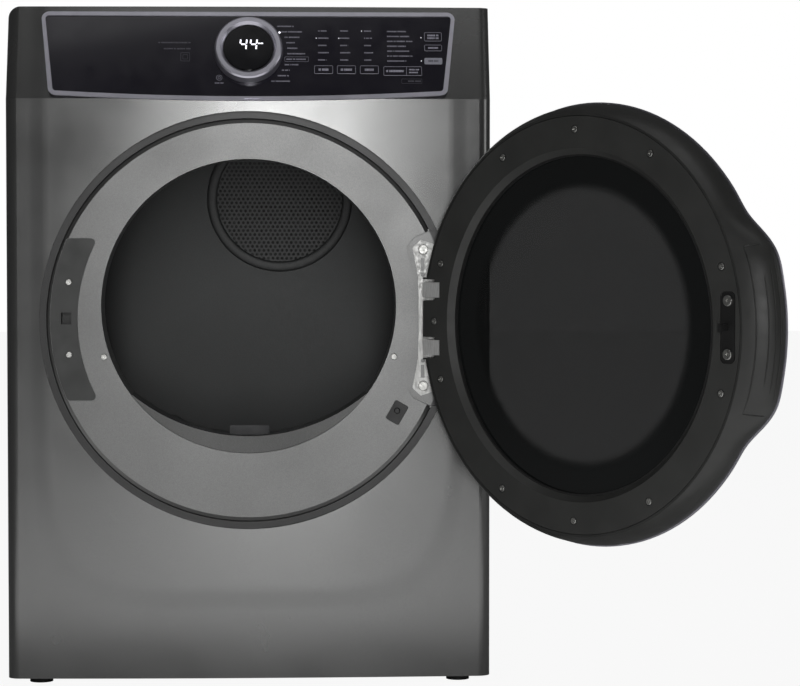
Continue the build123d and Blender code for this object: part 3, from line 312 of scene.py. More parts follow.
def plated_steel(name, base=(0.44, 0.44, 0.43), roughness=0.36):
    """Zinc-plated steel, rolled one way, with light rubbing marks."""
    s = Shader(name, base, roughness, 1.0)
    grain = s.noise(0.0012, 3.0, s.stretched((1.0, 1.0, 0.08)))
    s.link(s.blend_colours(grain, shade(base, 0.80), shade(base, 1.12)), "Base Color")
    s.link(s.between(s.noise(0.004), roughness - 0.08, roughness + 0.14), "Roughness")
    s.bump(grain, 0.00003)
    return s


def satin_silver(name, base):
    """Satin-plated plastic with a very fine brushed grain."""
    s = Shader(name, base, 0.30, 0.9)
    s.link(s.between(s.noise(0.03, 2.0), 0.28, 0.35), "Roughness")
    s.link(s.blend_colours(s.noise(0.02), shade(base, 0.95), shade(base, 1.04)), "Base Color")
    s.bump(s.noise(0.0008, 2.0), 0.000002)
    return s


def rubber(name, base=(0.012, 0.012, 0.012)):
    s = Shader(name, base, 0.62)
    s.link(s.blend_colours(s.noise(0.01), shade(base, 0.8), shade(base, 1.5)), "Base Color")
    s.link(s.between(s.noise(0.003), 0.55, 0.72), "Roughness")
    s.bump(s.noise(0.0008, 4.0), 0.00008)
    return s


def felt(name, base=(0.34, 0.31, 0.26)):
    """Pressed wool with a matted surface of short fibres."""
    s = Shader(name, base, 0.95)
    fibres = s.noise(0.0016, 6.0, s.stretched((1.0, 0.35, 1.0)))
    s.link(s.blend_colours(fibres, shade(base, 0.62), shade(base, 1.25)), "Base Color")
    s.set("Sheen Weight", 0.4)
    s.set("Sheen Roughness", 0.6)
    s.bump(fibres, 0.0004)
    return s


def circuit_board(name):
    s = Shader(name, (0.02, 0.10, 0.045), 0.35)
    tracks = s.cells(0.004, "Distance")
    s.link(s.blend_colours(tracks, (0.035, 0.16, 0.07), (0.012, 0.07, 0.03)), "Base Color")
    s.set("Coat Weight", 0.3)
    s.bump(tracks, 0.00005)
    return s


def hot_wire(name):
    """Resistance rod with the blue and straw colours that heat leaves."""
    s = Shader(name, (0.20, 0.17, 0.14), 0.45, 0.9)
    s.link(s.blend_colours(s.noise(0.03), (0.10, 0.10, 0.14), (0.30, 0.22, 0.13)), "Base Color")
    s.bump(s.noise(0.002), 0.00005)
    return s


def enamel(name, base):
    """Baked powder enamel with its fine, even texture."""
    s = Shader(name, base, 0.42, 0.25)
    s.link(s.blend_colours(s.noise(0.0014, 3.0), shade(base, 0.90), shade(base, 1.10)), "Base Color")
    s.link(s.between(s.noise(0.0022), 0.40, 0.46), "Roughness")
    s.bump(s.noise(0.0022, 3.0), 0.00006)
    return s


def ribbed_belt(name):
    """Rubber belt with ribs running round it."""
    s = rubber(name)
    wave = s.nodes.new("ShaderNodeTexWave")
    wave.bands_direction = "Y"
    wave.inputs["Scale"].default_value = 110.0
    s.links.new(s.object_coords, wave.inputs["Vector"])
    s.bump(wave.outputs["Fac"], 0.0006)
    return s


def printed_ink(name, base, glow=0.0):
    s = Shader(name, base, 0.5)
    s.link(s.blend_colours(s.noise(0.0007), shade(base, 0.86), shade(base, 1.05)), "Base Color")
    if glow:
        s.set("Emission Color", (*base, 1.0))
        s.set("Emission Strength", glow)
    return s


def lint_gauze(name):
    """Woven screen cloth: threads both ways, with the light passing between them."""
    s = Shader(name, (0.20, 0.20, 0.21), 0.6)
    threads = []
    for direction in ("X", "Z"):
        wave = s.nodes.new("ShaderNodeTexWave")
        wave.bands_direction = direction
        wave.inputs["Scale"].default_value = 260.0
        s.links.new(s.object_coords, wave.inputs["Vector"])
        threads.append(wave.outputs["Fac"])
    cloth = s.math("MAXIMUM", threads[0], threads[1])
    s.link(s.math("GREATER_THAN", cloth, 0.55), "Alpha")
    s.bump(cloth, 0.0002)
    return s


def from_ring_axis(s, vector):
    """Distance from the opening ring's axis, in metres."""
    offset = s.nodes.new("ShaderNodeVectorMath")
    offset.operation = "SUBTRACT"
    offset.inputs[1].default_value = RING_CENTRE
    flat = s.nodes.new("ShaderNodeVectorMath")
    flat.operation = "MULTIPLY"
    flat.inputs[1].default_value = (1.0, 0.0, 1.0)
    size = s.nodes.new("ShaderNodeVectorMath")
    size.operation = "LENGTH"
    s.links.new(vector, offset.inputs[0])
    s.links.new(offset.outputs[0], flat.inputs[0])
    s.links.new(flat.outputs[0], size.inputs[0])
    return size.outputs["Value"]


def painted_shade_beyond(s, distance, radius, dark_share, sharp=0.0008):
    """Painted shade: darkens the base colour, and makes it less metallic, where the distance socket is past
    a radius.
    """
    step = s.nodes.new("ShaderNodeMapRange")
    step.inputs["From Min"].default_value = radius - sharp
    step.inputs["From Max"].default_value = radius + sharp
    s.links.new(distance, step.inputs["Value"])
    mix = s.nodes.new("ShaderNodeMix")
    mix.data_type = "RGBA"
    mix.blend_type = "MULTIPLY"
    mix.inputs[7].default_value = (dark_share, dark_share, dark_share, 1.0)
    s.links.new(step.outputs["Result"], mix.inputs[0])
    s.links.new(s.principled.inputs["Base Color"].links[0].from_socket, mix.inputs[6])
    s.link(mix.outputs[2], "Base Color")
    s.link(s.math("MULTIPLY", s.math("SUBTRACT", 1.0, step.outputs["Result"]), 0.85), "Metallic")


def ring_paint(name, paint):
    """The ring's satin paint, with painted shade that darkens the groove round it."""
    s = metallic_paint(name, paint.ring, 0.33, paint.flake)
    # Painted shade: past the groove's edge the colour falls to 0.16 of the paint and loses its metal, for
    # the shadow in the groove.
    painted_shade_beyond(s, from_ring_axis(s, s.object_coords), GROOVE_EDGE_R, 0.16)
    return s


def front_paint(name, paint):
    """The front sheet's paint, with a bump for its pressing: outside a fifth-power oval round the door
    the sheet falls back by a soft step, and then by a steady slope."""
    s = metallic_paint(name, paint.front, paint.roughness, paint.flake)
    split = s.nodes.new("ShaderNodeSeparateXYZ")
    s.links.new(s.object_coords, split.inputs[0])
    across = s.math("DIVIDE", s.math("ABSOLUTE", split.outputs["X"]), PRESSING_HALF_WIDE)
    down = s.math("DIVIDE", s.math("SUBTRACT", RING_CENTRE.z, split.outputs["Z"]), PRESSING_HALF_TALL)
    down = s.math("MAXIMUM", down, 0.0)
    total = s.math("ADD", s.math("POWER", across, PRESSING_POWER), s.math("POWER", down, PRESSING_POWER))
    oval = s.math("POWER", total, 1.0 / PRESSING_POWER)
    fall = s.nodes.new("ShaderNodeMapRange")
    fall.interpolation_type = "SMOOTHSTEP"
    fall.inputs["From Min"].default_value = PRESSING_EDGE[0]
    fall.inputs["From Max"].default_value = PRESSING_EDGE[1]
    fall.inputs["To Max"].default_value = 1.0
    s.links.new(oval, fall.inputs["Value"])
    slope = s.math("MULTIPLY", s.math("MAXIMUM", s.math("SUBTRACT", oval, 1.0), 0.0), PRESSING_SLOPE)
    step = s.math("MULTIPLY", fall.outputs["Result"], PRESSING_STEP)
    height = s.math("SUBTRACT", 1.0, s.math("ADD", step, slope))
    s.bump(height, paint.crease, normal=s.principled.inputs["Normal"].links[0].from_socket)
    return s


def closed_coordinates(s):
    """Object coordinates as they would be with the door shut."""
    turn = Euler((0.0, 0.0, SHUT_ANGLE))
    node = s.nodes.new("ShaderNodeMapping")
    node.inputs["Rotation"].default_value = turn
    node.inputs["Location"].default_value = HINGE - turn.to_matrix() @ HINGE
    s.links.new(s.object_coords, node.inputs["Vector"])
    return node.outputs[0]


def tinted_window(name, door, border):
    """Dark tinted pane, clear in the middle, with a printed border that fades in.
    A ray crosses two surfaces of a pane, so each one lets the root of the pane's share through."""
    s = Shader(name, door.glass, 0.05)
    s.set("IOR", 1.5)
    s.link(s.between(s.noise(0.05), 0.035, 0.075), "Roughness")
    fade = s.nodes.new("ShaderNodeMapRange")
    fade.interpolation_type = "SMOOTHSTEP"
    fade.inputs["From Min"].default_value = border - door.border_soft
    fade.inputs["From Max"].default_value = border
    fade.inputs["To Min"].default_value = 1.0 - sqrt(door.clear)
    fade.inputs["To Max"].default_value = 1.0
    s.links.new(from_ring_axis(s, closed_coordinates(s)), fade.inputs["Value"])
    s.link(fade.outputs["Result"], "Alpha")
    return s


def coat(shader, *nodes):
    """Gives each CAD node this finish."""
    for node in nodes:
        mesh_object = NODES[node]
        if not mesh_object.material_slots:
            mesh_object.data.materials.append(None)
        for material_slot in mesh_object.material_slots:
            material_slot.material = shader.material


# ---------- surfaces ----------

def new_piece(name, points, faces, shader, body, smooth=False):
    """Puts whole arrays of points and faces into a mesh that rides on a body."""
    mesh = bpy.data.meshes.new(name)
    mesh.from_pydata(points.tolist(), [], faces.tolist())
    mesh.polygons.foreach_set("use_smooth", np.full(len(mesh.polygons), smooth))
    mesh.materials.append(shader.material)
    mesh.update()
    piece = bpy.data.objects.new(name, mesh)
    bpy.context.scene.collection.objects.link(piece)
    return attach(piece, body)


def grid_faces(rows, columns, wrap_rows=False, wrap_columns=False):
    """Quads over a rows by columns grid of points, joined end to start where it wraps."""
    r = np.arange(rows if wrap_rows else rows - 1)
    c = np.arange(columns if wrap_columns else columns - 1)
    i, j = np.meshgrid(r, c, indexing="ij")
    i2, j2 = (i + 1) % rows, (j + 1) % columns
    quads = np.stack([i * columns + j, i2 * columns + j, i2 * columns + j2, i * columns + j2], axis=-1)
    return quads.reshape(-1, 4)


def joined(parts):
    """Several (points, faces) pairs as one."""
    points = np.concatenate([p for p, _ in parts])
    starts = np.cumsum([0] + [len(p) for p, _ in parts[:-1]])
    faces = np.concatenate([f + start for (_, f), start in zip(parts, starts)])
    return points, faces


def on_console(x, s, lift):
    """Console millimetres as points: x to the right of the dial, s up the slope, lift off the panel."""
    x, s, lift = np.broadcast_arrays(x, s, lift)
    axes = np.array([CONSOLE_RIGHT, CONSOLE_UP, CONSOLE_OUT])
    return np.array(DIAL) + np.stack([x, s, lift], axis=-1) * MM @ axes


BLOCK_FACES = np.array([
    (0, 1, 2, 3), (4, 7, 6, 5), (0, 4, 5, 1), (1, 5, 6, 2), (2, 6, 7, 3), (3, 7, 4, 0),
])


def blocks(x0, x1, s0, s1, lift, slant=0.0):
    """Low blocks: each is the rectangle x0..x1 by s0..s1, leaning by slant, raised from its underside."""
    x0, x1, s0, s1 = (np.asarray(v, float) for v in (x0, x1, s0, s1))
    x = np.stack([x0, x0, x1, x1], axis=-1)
    s = np.stack([s0, s1, s1, s0], axis=-1)
    x = x + slant * s
    under = on_console(x, s, lift - PRINT_SINK)
    over = on_console(x, s, lift + PRINT_THICK)
    points = np.concatenate([over, under], axis=1).reshape(-1, 3)
    faces = BLOCK_FACES[None] + 8 * np.arange(len(x))[:, None, None]
    return points, faces.reshape(-1, 4)


def rounded_path(x, s, width, height, radius, steps=6):
    """Points round a rectangle with rounded corners: each corner is a quarter circle."""
    turn = np.linspace(0, np.pi / 2, steps)
    corner = np.arange(4)[:, None] * np.pi / 2 + turn[None]
    sx = np.array([1, -1, -1, 1])[:, None] * (width / 2 - radius)
    sz = np.array([1, 1, -1, -1])[:, None] * (height / 2 - radius)
    return np.stack([x + sx + radius * np.cos(corner), s + sz + radius * np.sin(corner)], -1).reshape(-1, 2)


def outline(x, s, width, height, lift, line=0.45, radius=1.8):
    """A raised line round a rounded rectangle: a square section carried along the path."""
    outer = rounded_path(x, s, width, height, radius)
    inner = rounded_path(x, s, width - 2 * line, height - 2 * line, max(radius - line, 0.01))
    rings = [
        on_console(inner[:, 0], inner[:, 1], lift - PRINT_SINK),
        on_console(inner[:, 0], inner[:, 1], lift + PRINT_THICK),
        on_console(outer[:, 0], outer[:, 1], lift + PRINT_THICK),
        on_console(outer[:, 0], outer[:, 1], lift - PRINT_SINK),
    ]
    points = np.stack(rings, axis=1).reshape(-1, 3)
    return points, grid_faces(len(outer), 4, True, True)


def ring_line(x, s, radius, line, lift):
    return outline(x, s, 2 * radius, 2 * radius, lift, line, radius - 0.001)


def dots(x, s, radius, lift):
    """Round lamps: squares with their corners rounded right off, drawn as outlines nearly to the middle."""
    wide = 2 * radius
    parts = [outline(px, ps, wide, wide, lift, radius * 0.98, radius - 0.001) for px, ps in zip(x, s)]
    return joined(parts)


def word_blocks(rows, height, lift, seed):
    """Rows of tiny blocks that stand where printing is. Each row is (start x, s, length)."""
    random = np.random.default_rng(seed)
    x0, x1, s = [], [], []
    for start, level, span in rows:
        at = start
        while at < start + span:
            wide = random.uniform(0.8, 1.7)
            x0.append(at)
            x1.append(min(at + wide, start + span))
            s.append(level)
            at += wide + (1.6 if random.random() < 0.12 else 0.45)
    s = np.array(s)
    return blocks(x0, x1, s - height / 2, s + height / 2, lift)


def seven_segments(x, s, width, height, lit, line, lift):
    """One seven-segment digit. Segments: 0 top, 1 and 2 right, 3 bottom, 4 and 5 left, 6 middle."""
    half, gap = height / 2, line * 0.6
    spans = np.array([
        (x + gap, x + width - gap, s + half - line / 2, s + half + line / 2),
        (x + width - line / 2, x + width + line / 2, s + gap, s + half - gap),
        (x + width - line / 2, x + width + line / 2, s - half + gap, s - gap),
        (x + gap, x + width - gap, s - half - line / 2, s - half + line / 2),
        (x - line / 2, x + line / 2, s - half + gap, s - gap),
        (x - line / 2, x + line / 2, s + gap, s + half - gap),
        (x + gap, x + width - gap, s - line / 2, s + line / 2),
    ])[list(lit)]
    return blocks(*spans.T, lift, slant=0.09)


def shut_to_open(points):
    """Points drawn on the closed door, turned about the hinge to where the door stands."""
    turn = Matrix.Rotation(-SHUT_ANGLE, 3, "Z")
    return (points - np.array(HINGE)) @ np.array(turn).T + np.array(HINGE)


# ---------- operators ----------

class DRYER_OT_cabinet(bpy.types.Operator):
    """Paints the cabinet's sheets and the ring round the opening"""
    bl_idname = "dryer.cabinet"
    bl_label = "Cabinet"

    def execute(self, context):
        paint = context.scene.dryer_paint
        coat(front_paint("front_paint", paint), "front_panel")
        coat(ring_paint("ring_paint", paint), "door_frame")
        # The ledge below the opening: the ring's paint darkened to 0.62 as painted shade, for the shadow on
        # the ledge as it runs inward.
        coat(metallic_paint("ledge_paint_painted_shade", shade(paint.ring, 0.62), 0.42, paint.flake), "filter_housing")
        coat(enamel("side_enamel", paint.sides), "side_panel_left", "side_panel_right", "top_panel")
        coat(galvanised_steel("zinc_spangle"), "rear_panel", "base_pan")
        coat(enamel("bulkhead_enamel", (0.085, 0.088, 0.088)), "front_bulkhead", "rear_bulkhead")
        coat(moulded_plastic("latch_plastic", (0.06, 0.062, 0.060), 0.42), "door_latch")
        switch = moulded_plastic("switch_plastic", (0.02, 0.02, 0.02), 0.38)
        coat(switch, "door_switch_body", "door_switch_plunger")
        return {"FINISHED"}


class DRYER_OT_metalwork(bpy.types.Operator):
    """Plates the hinge, the screws and the feet"""
    bl_idname = "dryer.metalwork"
    bl_label = "Hinge, screws and feet"

    def execute(self, context):
        coat(plated_steel("zinc_plate"), "hinge_bracket", "idler_arm", "roller_shafts")
        leaves = plated_steel("bright_plate", (0.74, 0.74, 0.73), 0.55)
        leaves.set("Metallic", 0.35)
        coat(leaves, "door_hinge_leaves")
        coat(plated_steel("screw_plate", (0.50, 0.50, 0.48), 0.30), "cabinet_screws", "door_screws")
        coat(rubber("foot_rubber"), *[n for n in NODES if n.startswith("foot_")])
        coat(galvanised_steel("cover_zinc", (0.36, 0.37, 0.38)), "terminal_cover")
        return {"FINISHED"}


class DRYER_OT_console(bpy.types.Operator):
    """Finishes the console's panel, frame, dial and keys"""
    bl_idname = "dryer.console"
    bl_label = "Console"

    def execute(self, context):
        console = context.scene.dryer_console
        panel = gloss_plastic("fascia_gloss", console.fascia)
        keys = [n for n in NODES if n.startswith("key_") and n != "key_favourite"]
        coat(panel, "console_fascia", *keys)
        coat(gloss_plastic("display_lens", (0.006, 0.006, 0.008)), "display_window")
        coat(satin_silver("silver_trim", console.trim), "console_trim", "selector_ring")
        coat(gloss_plastic("white_key", (0.42, 0.42, 0.49)), "key_favourite")
        coat(circuit_board("solder_mask"), "control_board")
        return {"FINISHED"}


class DRYER_OT_printing(bpy.types.Operator):
    """Prints rows of small blocks, lamps and outlines on the panel, in place of lettering"""
    bl_idname = "dryer.printing"
    bl_label = "Console printing"

    def execute(self, context):
        console = context.scene.dryer_console
        ink = printed_ink("console_ink", console.ink)
        faint = printed_ink("faint_ink", shade(console.ink, 0.35))
        glow = printed_ink("lamp_glow", console.glow, console.glow_strength)
        self.programme_rows(ink)
        self.faint_rows(faint)
        self.lamps(glow)
        return {"FINISHED"}

    def programme_rows(self, ink):
        """A fan of rows beside the dial, then three short columns and one long one."""
        levels = 38.5 - 8.45 * np.arange(11)
        spans = 20 + 9 * np.sin(1.3 * np.arange(11) + 0.4)
        starts = np.sqrt(58.0**2 - levels**2) - 3.0
        rows = list(zip(starts, levels, spans))
        for start, span in ((98.5, 15.0), (130.0, 14.0), (164.0, 12.5)):
            rows += [(start, 31.6 - 11.2 * k, span * (0.8 + 0.2 * (k % 2))) for k in range(5)]
        rows += [(196.6, 31.0 - 7.6 * k, 27.0 + 4.5 * (k % 3)) for k in range(7)]
        rows.append((-47.5, -49.0, 12.5))
        parts = [word_blocks(rows, 1.9, FASCIA_LIFT, 7)]
        parts.append(outline(68.0, levels[6], 34.0, 7.6, FASCIA_LIFT, 0.35, 1.2))
        new_piece("programme_rows", *joined(parts), ink, "cabinet")

    def faint_rows(self, faint):
        """Side notes that hardly show: two rows and a small frame on the left, one frame on the right."""
        notes = [(-128.0, 13.0, 46.0), (-120.0, 3.6, 38.0), (226.0, -45.5, 18.0)]
        parts = [word_blocks(notes, 2.0, FASCIA_LIFT, 11)]
        parts.append(outline(-89.5, -9.0, 13.0, 13.0, FASCIA_LIFT, 0.45, 0.8))
        parts.append(outline(-89.5, -9.0, 7.0, 7.0, FASCIA_LIFT, 0.35, 0.8))
        parts.append(outline(231.0, -45.5, 29.0, 7.0, FASCIA_LIFT, 0.3, 1.0))
        new_piece("faint_rows", *joined(parts), faint, "cabinet")

    def lamps(self, glow):
        """One round lamp by the chosen programme and small ones by the columns and keys."""
        parts = [dots([43.8], [29.0], 1.5, FASCIA_LIFT)]
        small = [(96.0, 20.4), (128.0, 20.4), (160.5, 31.6), (245.0, 21.5), (245.0, -14.4)]
        parts.append(dots(*zip(*small), 0.55, FASCIA_LIFT))
        new_piece("panel_lamps", *joined(parts), glow, "cabinet")


class DRYER_OT_key_marks(bpy.types.Operator):
    """Draws the outline and word blocks on each push key"""
    bl_idname = "dryer.key_marks"
    bl_label = "Key marks"

    def execute(self, context):
        console = context.scene.dryer_console
        ink = printed_ink("key_ink", shade(console.ink, 1.35))
        dark = printed_ink("dark_ink", (0.03, 0.03, 0.05))
        words = {
            "key_temperature": (1, 14.0, 3.4), "key_dryness": (1, 16.0, 3.4), "key_time": (1, 13.0, 3.4),
            "key_options": (1, 25.0, 3.2), "key_start": (2, 16.0, 2.6), "key_cancel": (1, 14.0, 2.4),
            "key_favourite": (1, 14.0, 2.4),
        }
        for node, (lines, span, tall) in words.items():
            x, s, width, height = self.face(node)
            shift = -11.0 if node == "key_options" else 0.0
            levels = [s + 4.2 * (k - (lines - 1) / 2) for k in range(lines)]
            rows = [(x + shift - span / 2, level, span) for level in levels]
            parts = [word_blocks(rows, tall, KEY_LIFT, len(node))]
            if node != "key_favourite":
                parts.append(outline(x, s, width - 0.8, height - 0.8, KEY_LIFT, 0.45, 1.6))
            if node == "key_options":
                foot, head = s - height / 2 + 1, s + height / 2 - 1
                parts.append(blocks([x + 5.0], [x + 5.4], [foot], [head], KEY_LIFT))
                parts.append(word_blocks([(x + 9, s + 2.2, 14.0), (x + 9, s - 2.2, 14.0)], 2.0, KEY_LIFT, 3))
            new_piece(f"{node}_mark", *joined(parts), dark if node == "key_favourite" else ink, node)
        x, s, _, _ = self.face("key_power")
        parts = [ring_line(x, s, 4.2, 0.4, KEY_LIFT), ring_line(x, s, 2.0, 0.35, KEY_LIFT)]
        parts.append(blocks([x - 0.2], [x + 0.2], [s + 0.6], [s + 2.8], KEY_LIFT))
        new_piece("key_power_mark", *joined(parts), ink, "key_power")
        return {"FINISHED"}

    def face(self, node):
        """A key's centre and size on the console, in millimetres from the dial."""
        low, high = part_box(node)
        offset = (low + high) / 2 - DIAL
        tall = ((high.z - low.z) / MM - KEY_DEPTH * CONSOLE_OUT.z) / CONSOLE_UP.z
        return offset.x / MM, offset.dot(CONSOLE_UP) / MM, (high.x - low.x) / MM, tall


class DRYER_OT_digits(bpy.types.Operator):
    """Lights a two-digit number and a small bar in the dial's display"""
    bl_idname = "dryer.digits"
    bl_label = "Display digits"

    def execute(self, context):
        console = context.scene.dryer_console
        glow = printed_ink("digit_glow", console.glow, console.glow_strength)
        four = (1, 2, 5, 6)
        base = 5.0
        parts = [seven_segments(x, base, 8.6, 17.0, four, 2.1, DISPLAY_LIFT) for x in (-12.0, 2.4)]
        low, high = base + 0.6, base + 2.4
        parts.append(blocks([13.6, 17.0], [16.2, 20.6], [low, low], [high, high], DISPLAY_LIFT))
        new_piece("display_digits", *joined(parts), glow, "cabinet")
        return {"FINISHED"}


class DRYER_OT_door(bpy.types.Operator):
    """Finishes the door body, its panes, trim and seal"""
    bl_idname = "dryer.door"
    bl_label = "Door"

    def execute(self, context):
        door = context.scene.dryer_door
        coat(moulded_plastic("door_plastic", door.plastic, 0.40), "door_shell")
        coat(moulded_plastic("door_liner", shade(door.plastic, 1.35), 0.46), "door_inner_panel")
        coat(tinted_window("inner_pane", door, door.border), "door_inner_glass")
        coat(tinted_window("outer_pane", door, OUTER_PANE_BORDER), "door_outer_glass")
        coat(satin_silver("door_silver", context.scene.dryer_console.trim), "door_trim")
        coat(rubber("seal_rubber"), "door_gasket")
        coat(moulded_plastic("strike_plastic", (0.014, 0.014, 0.014), 0.34), "door_strike")
        return {"FINISHED"}


class DRYER_OT_handle_ribs(bpy.types.Operator):
    """Adds the thin raised lines of the finger grip on the back of the door's handle lobe"""
    bl_idname = "dryer.handle_ribs"
    bl_label = "Handle ribs"

    def execute(self, context):
        shader = moulded_plastic("rib_plastic", shade(context.scene.dryer_door.plastic, 0.8), 0.36)
        level = ((9, 21), (19, 13), (26, 15), (32, 17))
        parts = [self.bead(depth, depth, -reach, reach) for depth, reach in level]
        parts.append(self.bead(9, 30, 21, 20.2))
        parts.append(self.bead(9, 24, -21, -20.6))
        points, faces = joined(parts)
        new_piece("handle_ribs", shut_to_open(points), faces, shader, "door", smooth=True)
        return {"FINISHED"}

    def bead(self, depth0, depth1, angle0, angle1, thick=0.9):
        """A thin round bead on the lobe: a circle carried along a line of the lobe's surface,
        whose radius grows with depth along a cubic through the door's moulded stations."""
        t = np.linspace(0, 1, 49)
        depth = depth0 + (depth1 - depth0) * t
        angle = np.radians(180 + angle0 + (angle1 - angle0) * t)
        radii = LOBE_PLAIN_R + np.array(LOBE_SHARES) * LOBE_OUT + np.array(LOBE_ROUNDING)
        curve = np.polynomial.Polynomial.fit(LOBE_DEPTHS, radii, 3)
        away = np.clip((np.abs(np.degrees(angle) - 180) - LOBE_FULL_DEG) / LOBE_FADE_DEG, 0, 1)
        share_left = 1 - 3 * away**2 + 2 * away**3
        sag = np.interp(depth, LOBE_DEPTHS, LOBE_SHARES) * LOBE_OUT * (share_left - 1)
        radius = curve(depth) + sag
        out = np.stack([np.cos(angle), np.zeros_like(angle), np.sin(angle)], -1)
        centre = np.array(RING_CENTRE) * [1, 0, 1] + out * radius[:, None] * MM
        centre[:, 1] = DOOR_INNER_Y - depth * MM
        ahead = np.gradient(centre, axis=0)
        ahead /= np.linalg.norm(ahead, axis=1, keepdims=True)
        side = np.cross(ahead, out)
        side /= np.linalg.norm(side, axis=1, keepdims=True)
        lift = np.cross(side, ahead)
        turn = np.linspace(0, 2 * np.pi, 8, endpoint=False)
        size = thick * MM * np.sqrt(np.clip(1 - (2 * t - 1) ** 8, 0.01, 1))
        ring = np.cos(turn)[None, :, None] * side[:, None] + np.sin(turn)[None, :, None] * lift[:, None]
        points = centre[:, None] + size[:, None, None] * ring
        return points.reshape(-1, 3), grid_faces(len(t), len(turn), False, True)


class DRYER_OT_drum(bpy.types.Operator):
    """Finishes the drum, its vanes and its felt seals"""
    bl_idname = "dryer.drum"
    bl_label = "Drum"

    def execute(self, context):
        drum = context.scene.dryer_drum
        coat(enamel("drum_enamel", drum.shell), "drum_shell")
        coat(moulded_plastic("vane_plastic", (0.085, 0.087, 0.087), 0.45), "drum_baffles")
        coat(felt("wool_felt"), "felt_seals")
        return {"FINISHED"}


class DRYER_OT_inlet_grille(bpy.types.Operator):
    """Builds the perforated air inlet in the drum's rear wall"""
    bl_idname = "dryer.inlet_grille"
    bl_label = "Air inlet grille"

    def execute(self, context):
        drum = context.scene.dryer_drum
        low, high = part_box("air_inlet_grille")
        centre = (low + high) / 2
        radius = (high.x - low.x) / 2
        shader = enamel("grille_enamel", shade(drum.shell, 0.8))
        sheet = self.perforated(centre, radius - 12 * MM, low.y + 2.8 * MM, drum.pitch, drum.hole)
        plate = new_piece("inlet_grille", *sheet, shader, "cabinet")
        wall = plate.modifiers.new("plate", "SOLIDIFY")
        wall.thickness = 0.8 * MM
        wall.offset = -1.0
        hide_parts("air_inlet_grille")
        ring = self.rim(centre, radius, low.y, high.y)
        rim = new_piece("inlet_grille_rim", *ring, shader, "cabinet", smooth=True)
        return {"FINISHED"}

    def perforated(self, centre, reach, y, pitch, hole):
        """A sheet of six-sided cells in staggered rows, each with a round hole: the quads run from the
        cell's edge, taken at its corners and at the middle of each side, to the hole's circle."""
        count = int(reach / pitch) + 3
        row, column = np.meshgrid(np.arange(-count, count + 1), np.arange(-count, count + 1), indexing="ij")
        x = (column + 0.5 * (row % 2)) * pitch
        z = row * pitch * np.sqrt(0.75)
        keep = np.hypot(x, z) < reach
        spots = np.stack([x[keep], z[keep]], -1)
        turn = np.arange(12) * np.pi / 6
        edge = np.where(np.arange(12) % 2 == 0, pitch / 2, pitch / np.sqrt(3))
        way = np.stack([np.cos(turn), np.sin(turn)], -1)
        flat = np.concatenate([spots[:, None] + way * edge[:, None], spots[:, None] + way * hole], axis=1)
        k = np.arange(12)
        quad = np.stack([k, (k + 1) % 12, 12 + (k + 1) % 12, 12 + k], -1)
        faces = (quad[None] + 24 * np.arange(len(spots))[:, None, None]).reshape(-1, 4)
        points = flat.reshape(-1, 2)
        _, first, where = np.unique(np.round(points, 6), axis=0, return_index=True, return_inverse=True)
        points = points[first]
        solid = np.stack([points[:, 0] + centre.x, np.full(len(points), y), points[:, 1] + centre.z], -1)
        return solid, where.reshape(-1)[faces]

    def rim(self, centre, radius, y0, y1):
        """A rounded rim: a half-round profile spun about the grille's axis."""
        t = np.linspace(0, np.pi, 13)
        outer, inner = radius, radius - 17 * MM
        r = np.concatenate([(outer + inner) / 2 + (outer - inner) / 2 * np.cos(t), [inner, outer]])
        y = np.concatenate([y0 + 2.6 * MM - 2.6 * MM * np.sin(t) ** 0.6, [y1, y1]])
        turn = np.linspace(0, 2 * np.pi, 128, endpoint=False)
        x = centre.x + np.outer(np.cos(turn), r)
        z = centre.z + np.outer(np.sin(turn), r)
        points = np.stack([x, np.broadcast_to(y, x.shape), z], -1)
        return points.reshape(-1, 3), grid_faces(len(turn), len(r), True, True)


class DRYER_OT_drive(bpy.types.Operator):
    """Finishes the motor, belt, pulleys and rollers"""
    bl_idname = "dryer.drive"
    bl_label = "Drive"

    def execute(self, context):
        coat(ribbed_belt("belt_rubber"), "drive_belt")
        coat(enamel("motor_enamel", (0.03, 0.03, 0.034)), "drive_motor")
        coat(plated_steel("turned_steel", (0.45, 0.45, 0.46), 0.24), "motor_pulley")
        tread = moulded_plastic("roller_rubber", (0.022, 0.022, 0.023), 0.6, 0.002, 0.0001)
        coat(tread, "roller_left", "roller_right")
        coat(moulded_plastic("pulley_nylon", (0.05, 0.05, 0.055), 0.4), "idler_pulley")
        return {"FINISHED"}


class DRYER_OT_air_path(bpy.types.Operator):
    """Finishes the lint filter, blower, heater and ducts"""
    bl_idname = "dryer.air_path"
    bl_label = "Air path"

    def execute(self, context):
        coat(moulded_plastic("filter_plastic", (0.055, 0.056, 0.060), 0.42), "lint_filter")
        coat(moulded_plastic("blower_plastic", (0.020, 0.020, 0.022), 0.5), "blower_housing", "blower_wheel")
        coat(galvanised_steel("duct_zinc", (0.50, 0.51, 0.52)), "exhaust_duct")
        coat(plated_steel("heater_zinc", (0.10, 0.10, 0.10), 0.5), "heater_box")
        coat(hot_wire("heater_rod"), "heater_element")
        self.gauze()
        return {"FINISHED"}

    def gauze(self):
        """The screen cloth in the filter's windows: a flat grid in the middle of the frame."""
        low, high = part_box("lint_filter")
        inset, top = 8.5 * MM, 0.336
        x = np.linspace(low.x + inset, high.x - inset, 25)
        z = np.linspace(low.z + inset, top, 25)
        gx, gz = np.meshgrid(x, z)
        points = np.stack([gx, np.full_like(gx, (low.y + high.y) / 2), gz], -1).reshape(-1, 3)
        faces = grid_faces(25, 25)[:, ::-1]
        cloth = new_piece("lint_gauze", points, faces, lint_gauze("screen_cloth"), "lint_filter")
        wall = cloth.modifiers.new("thread", "SOLIDIFY")
        wall.thickness = 0.3 * MM


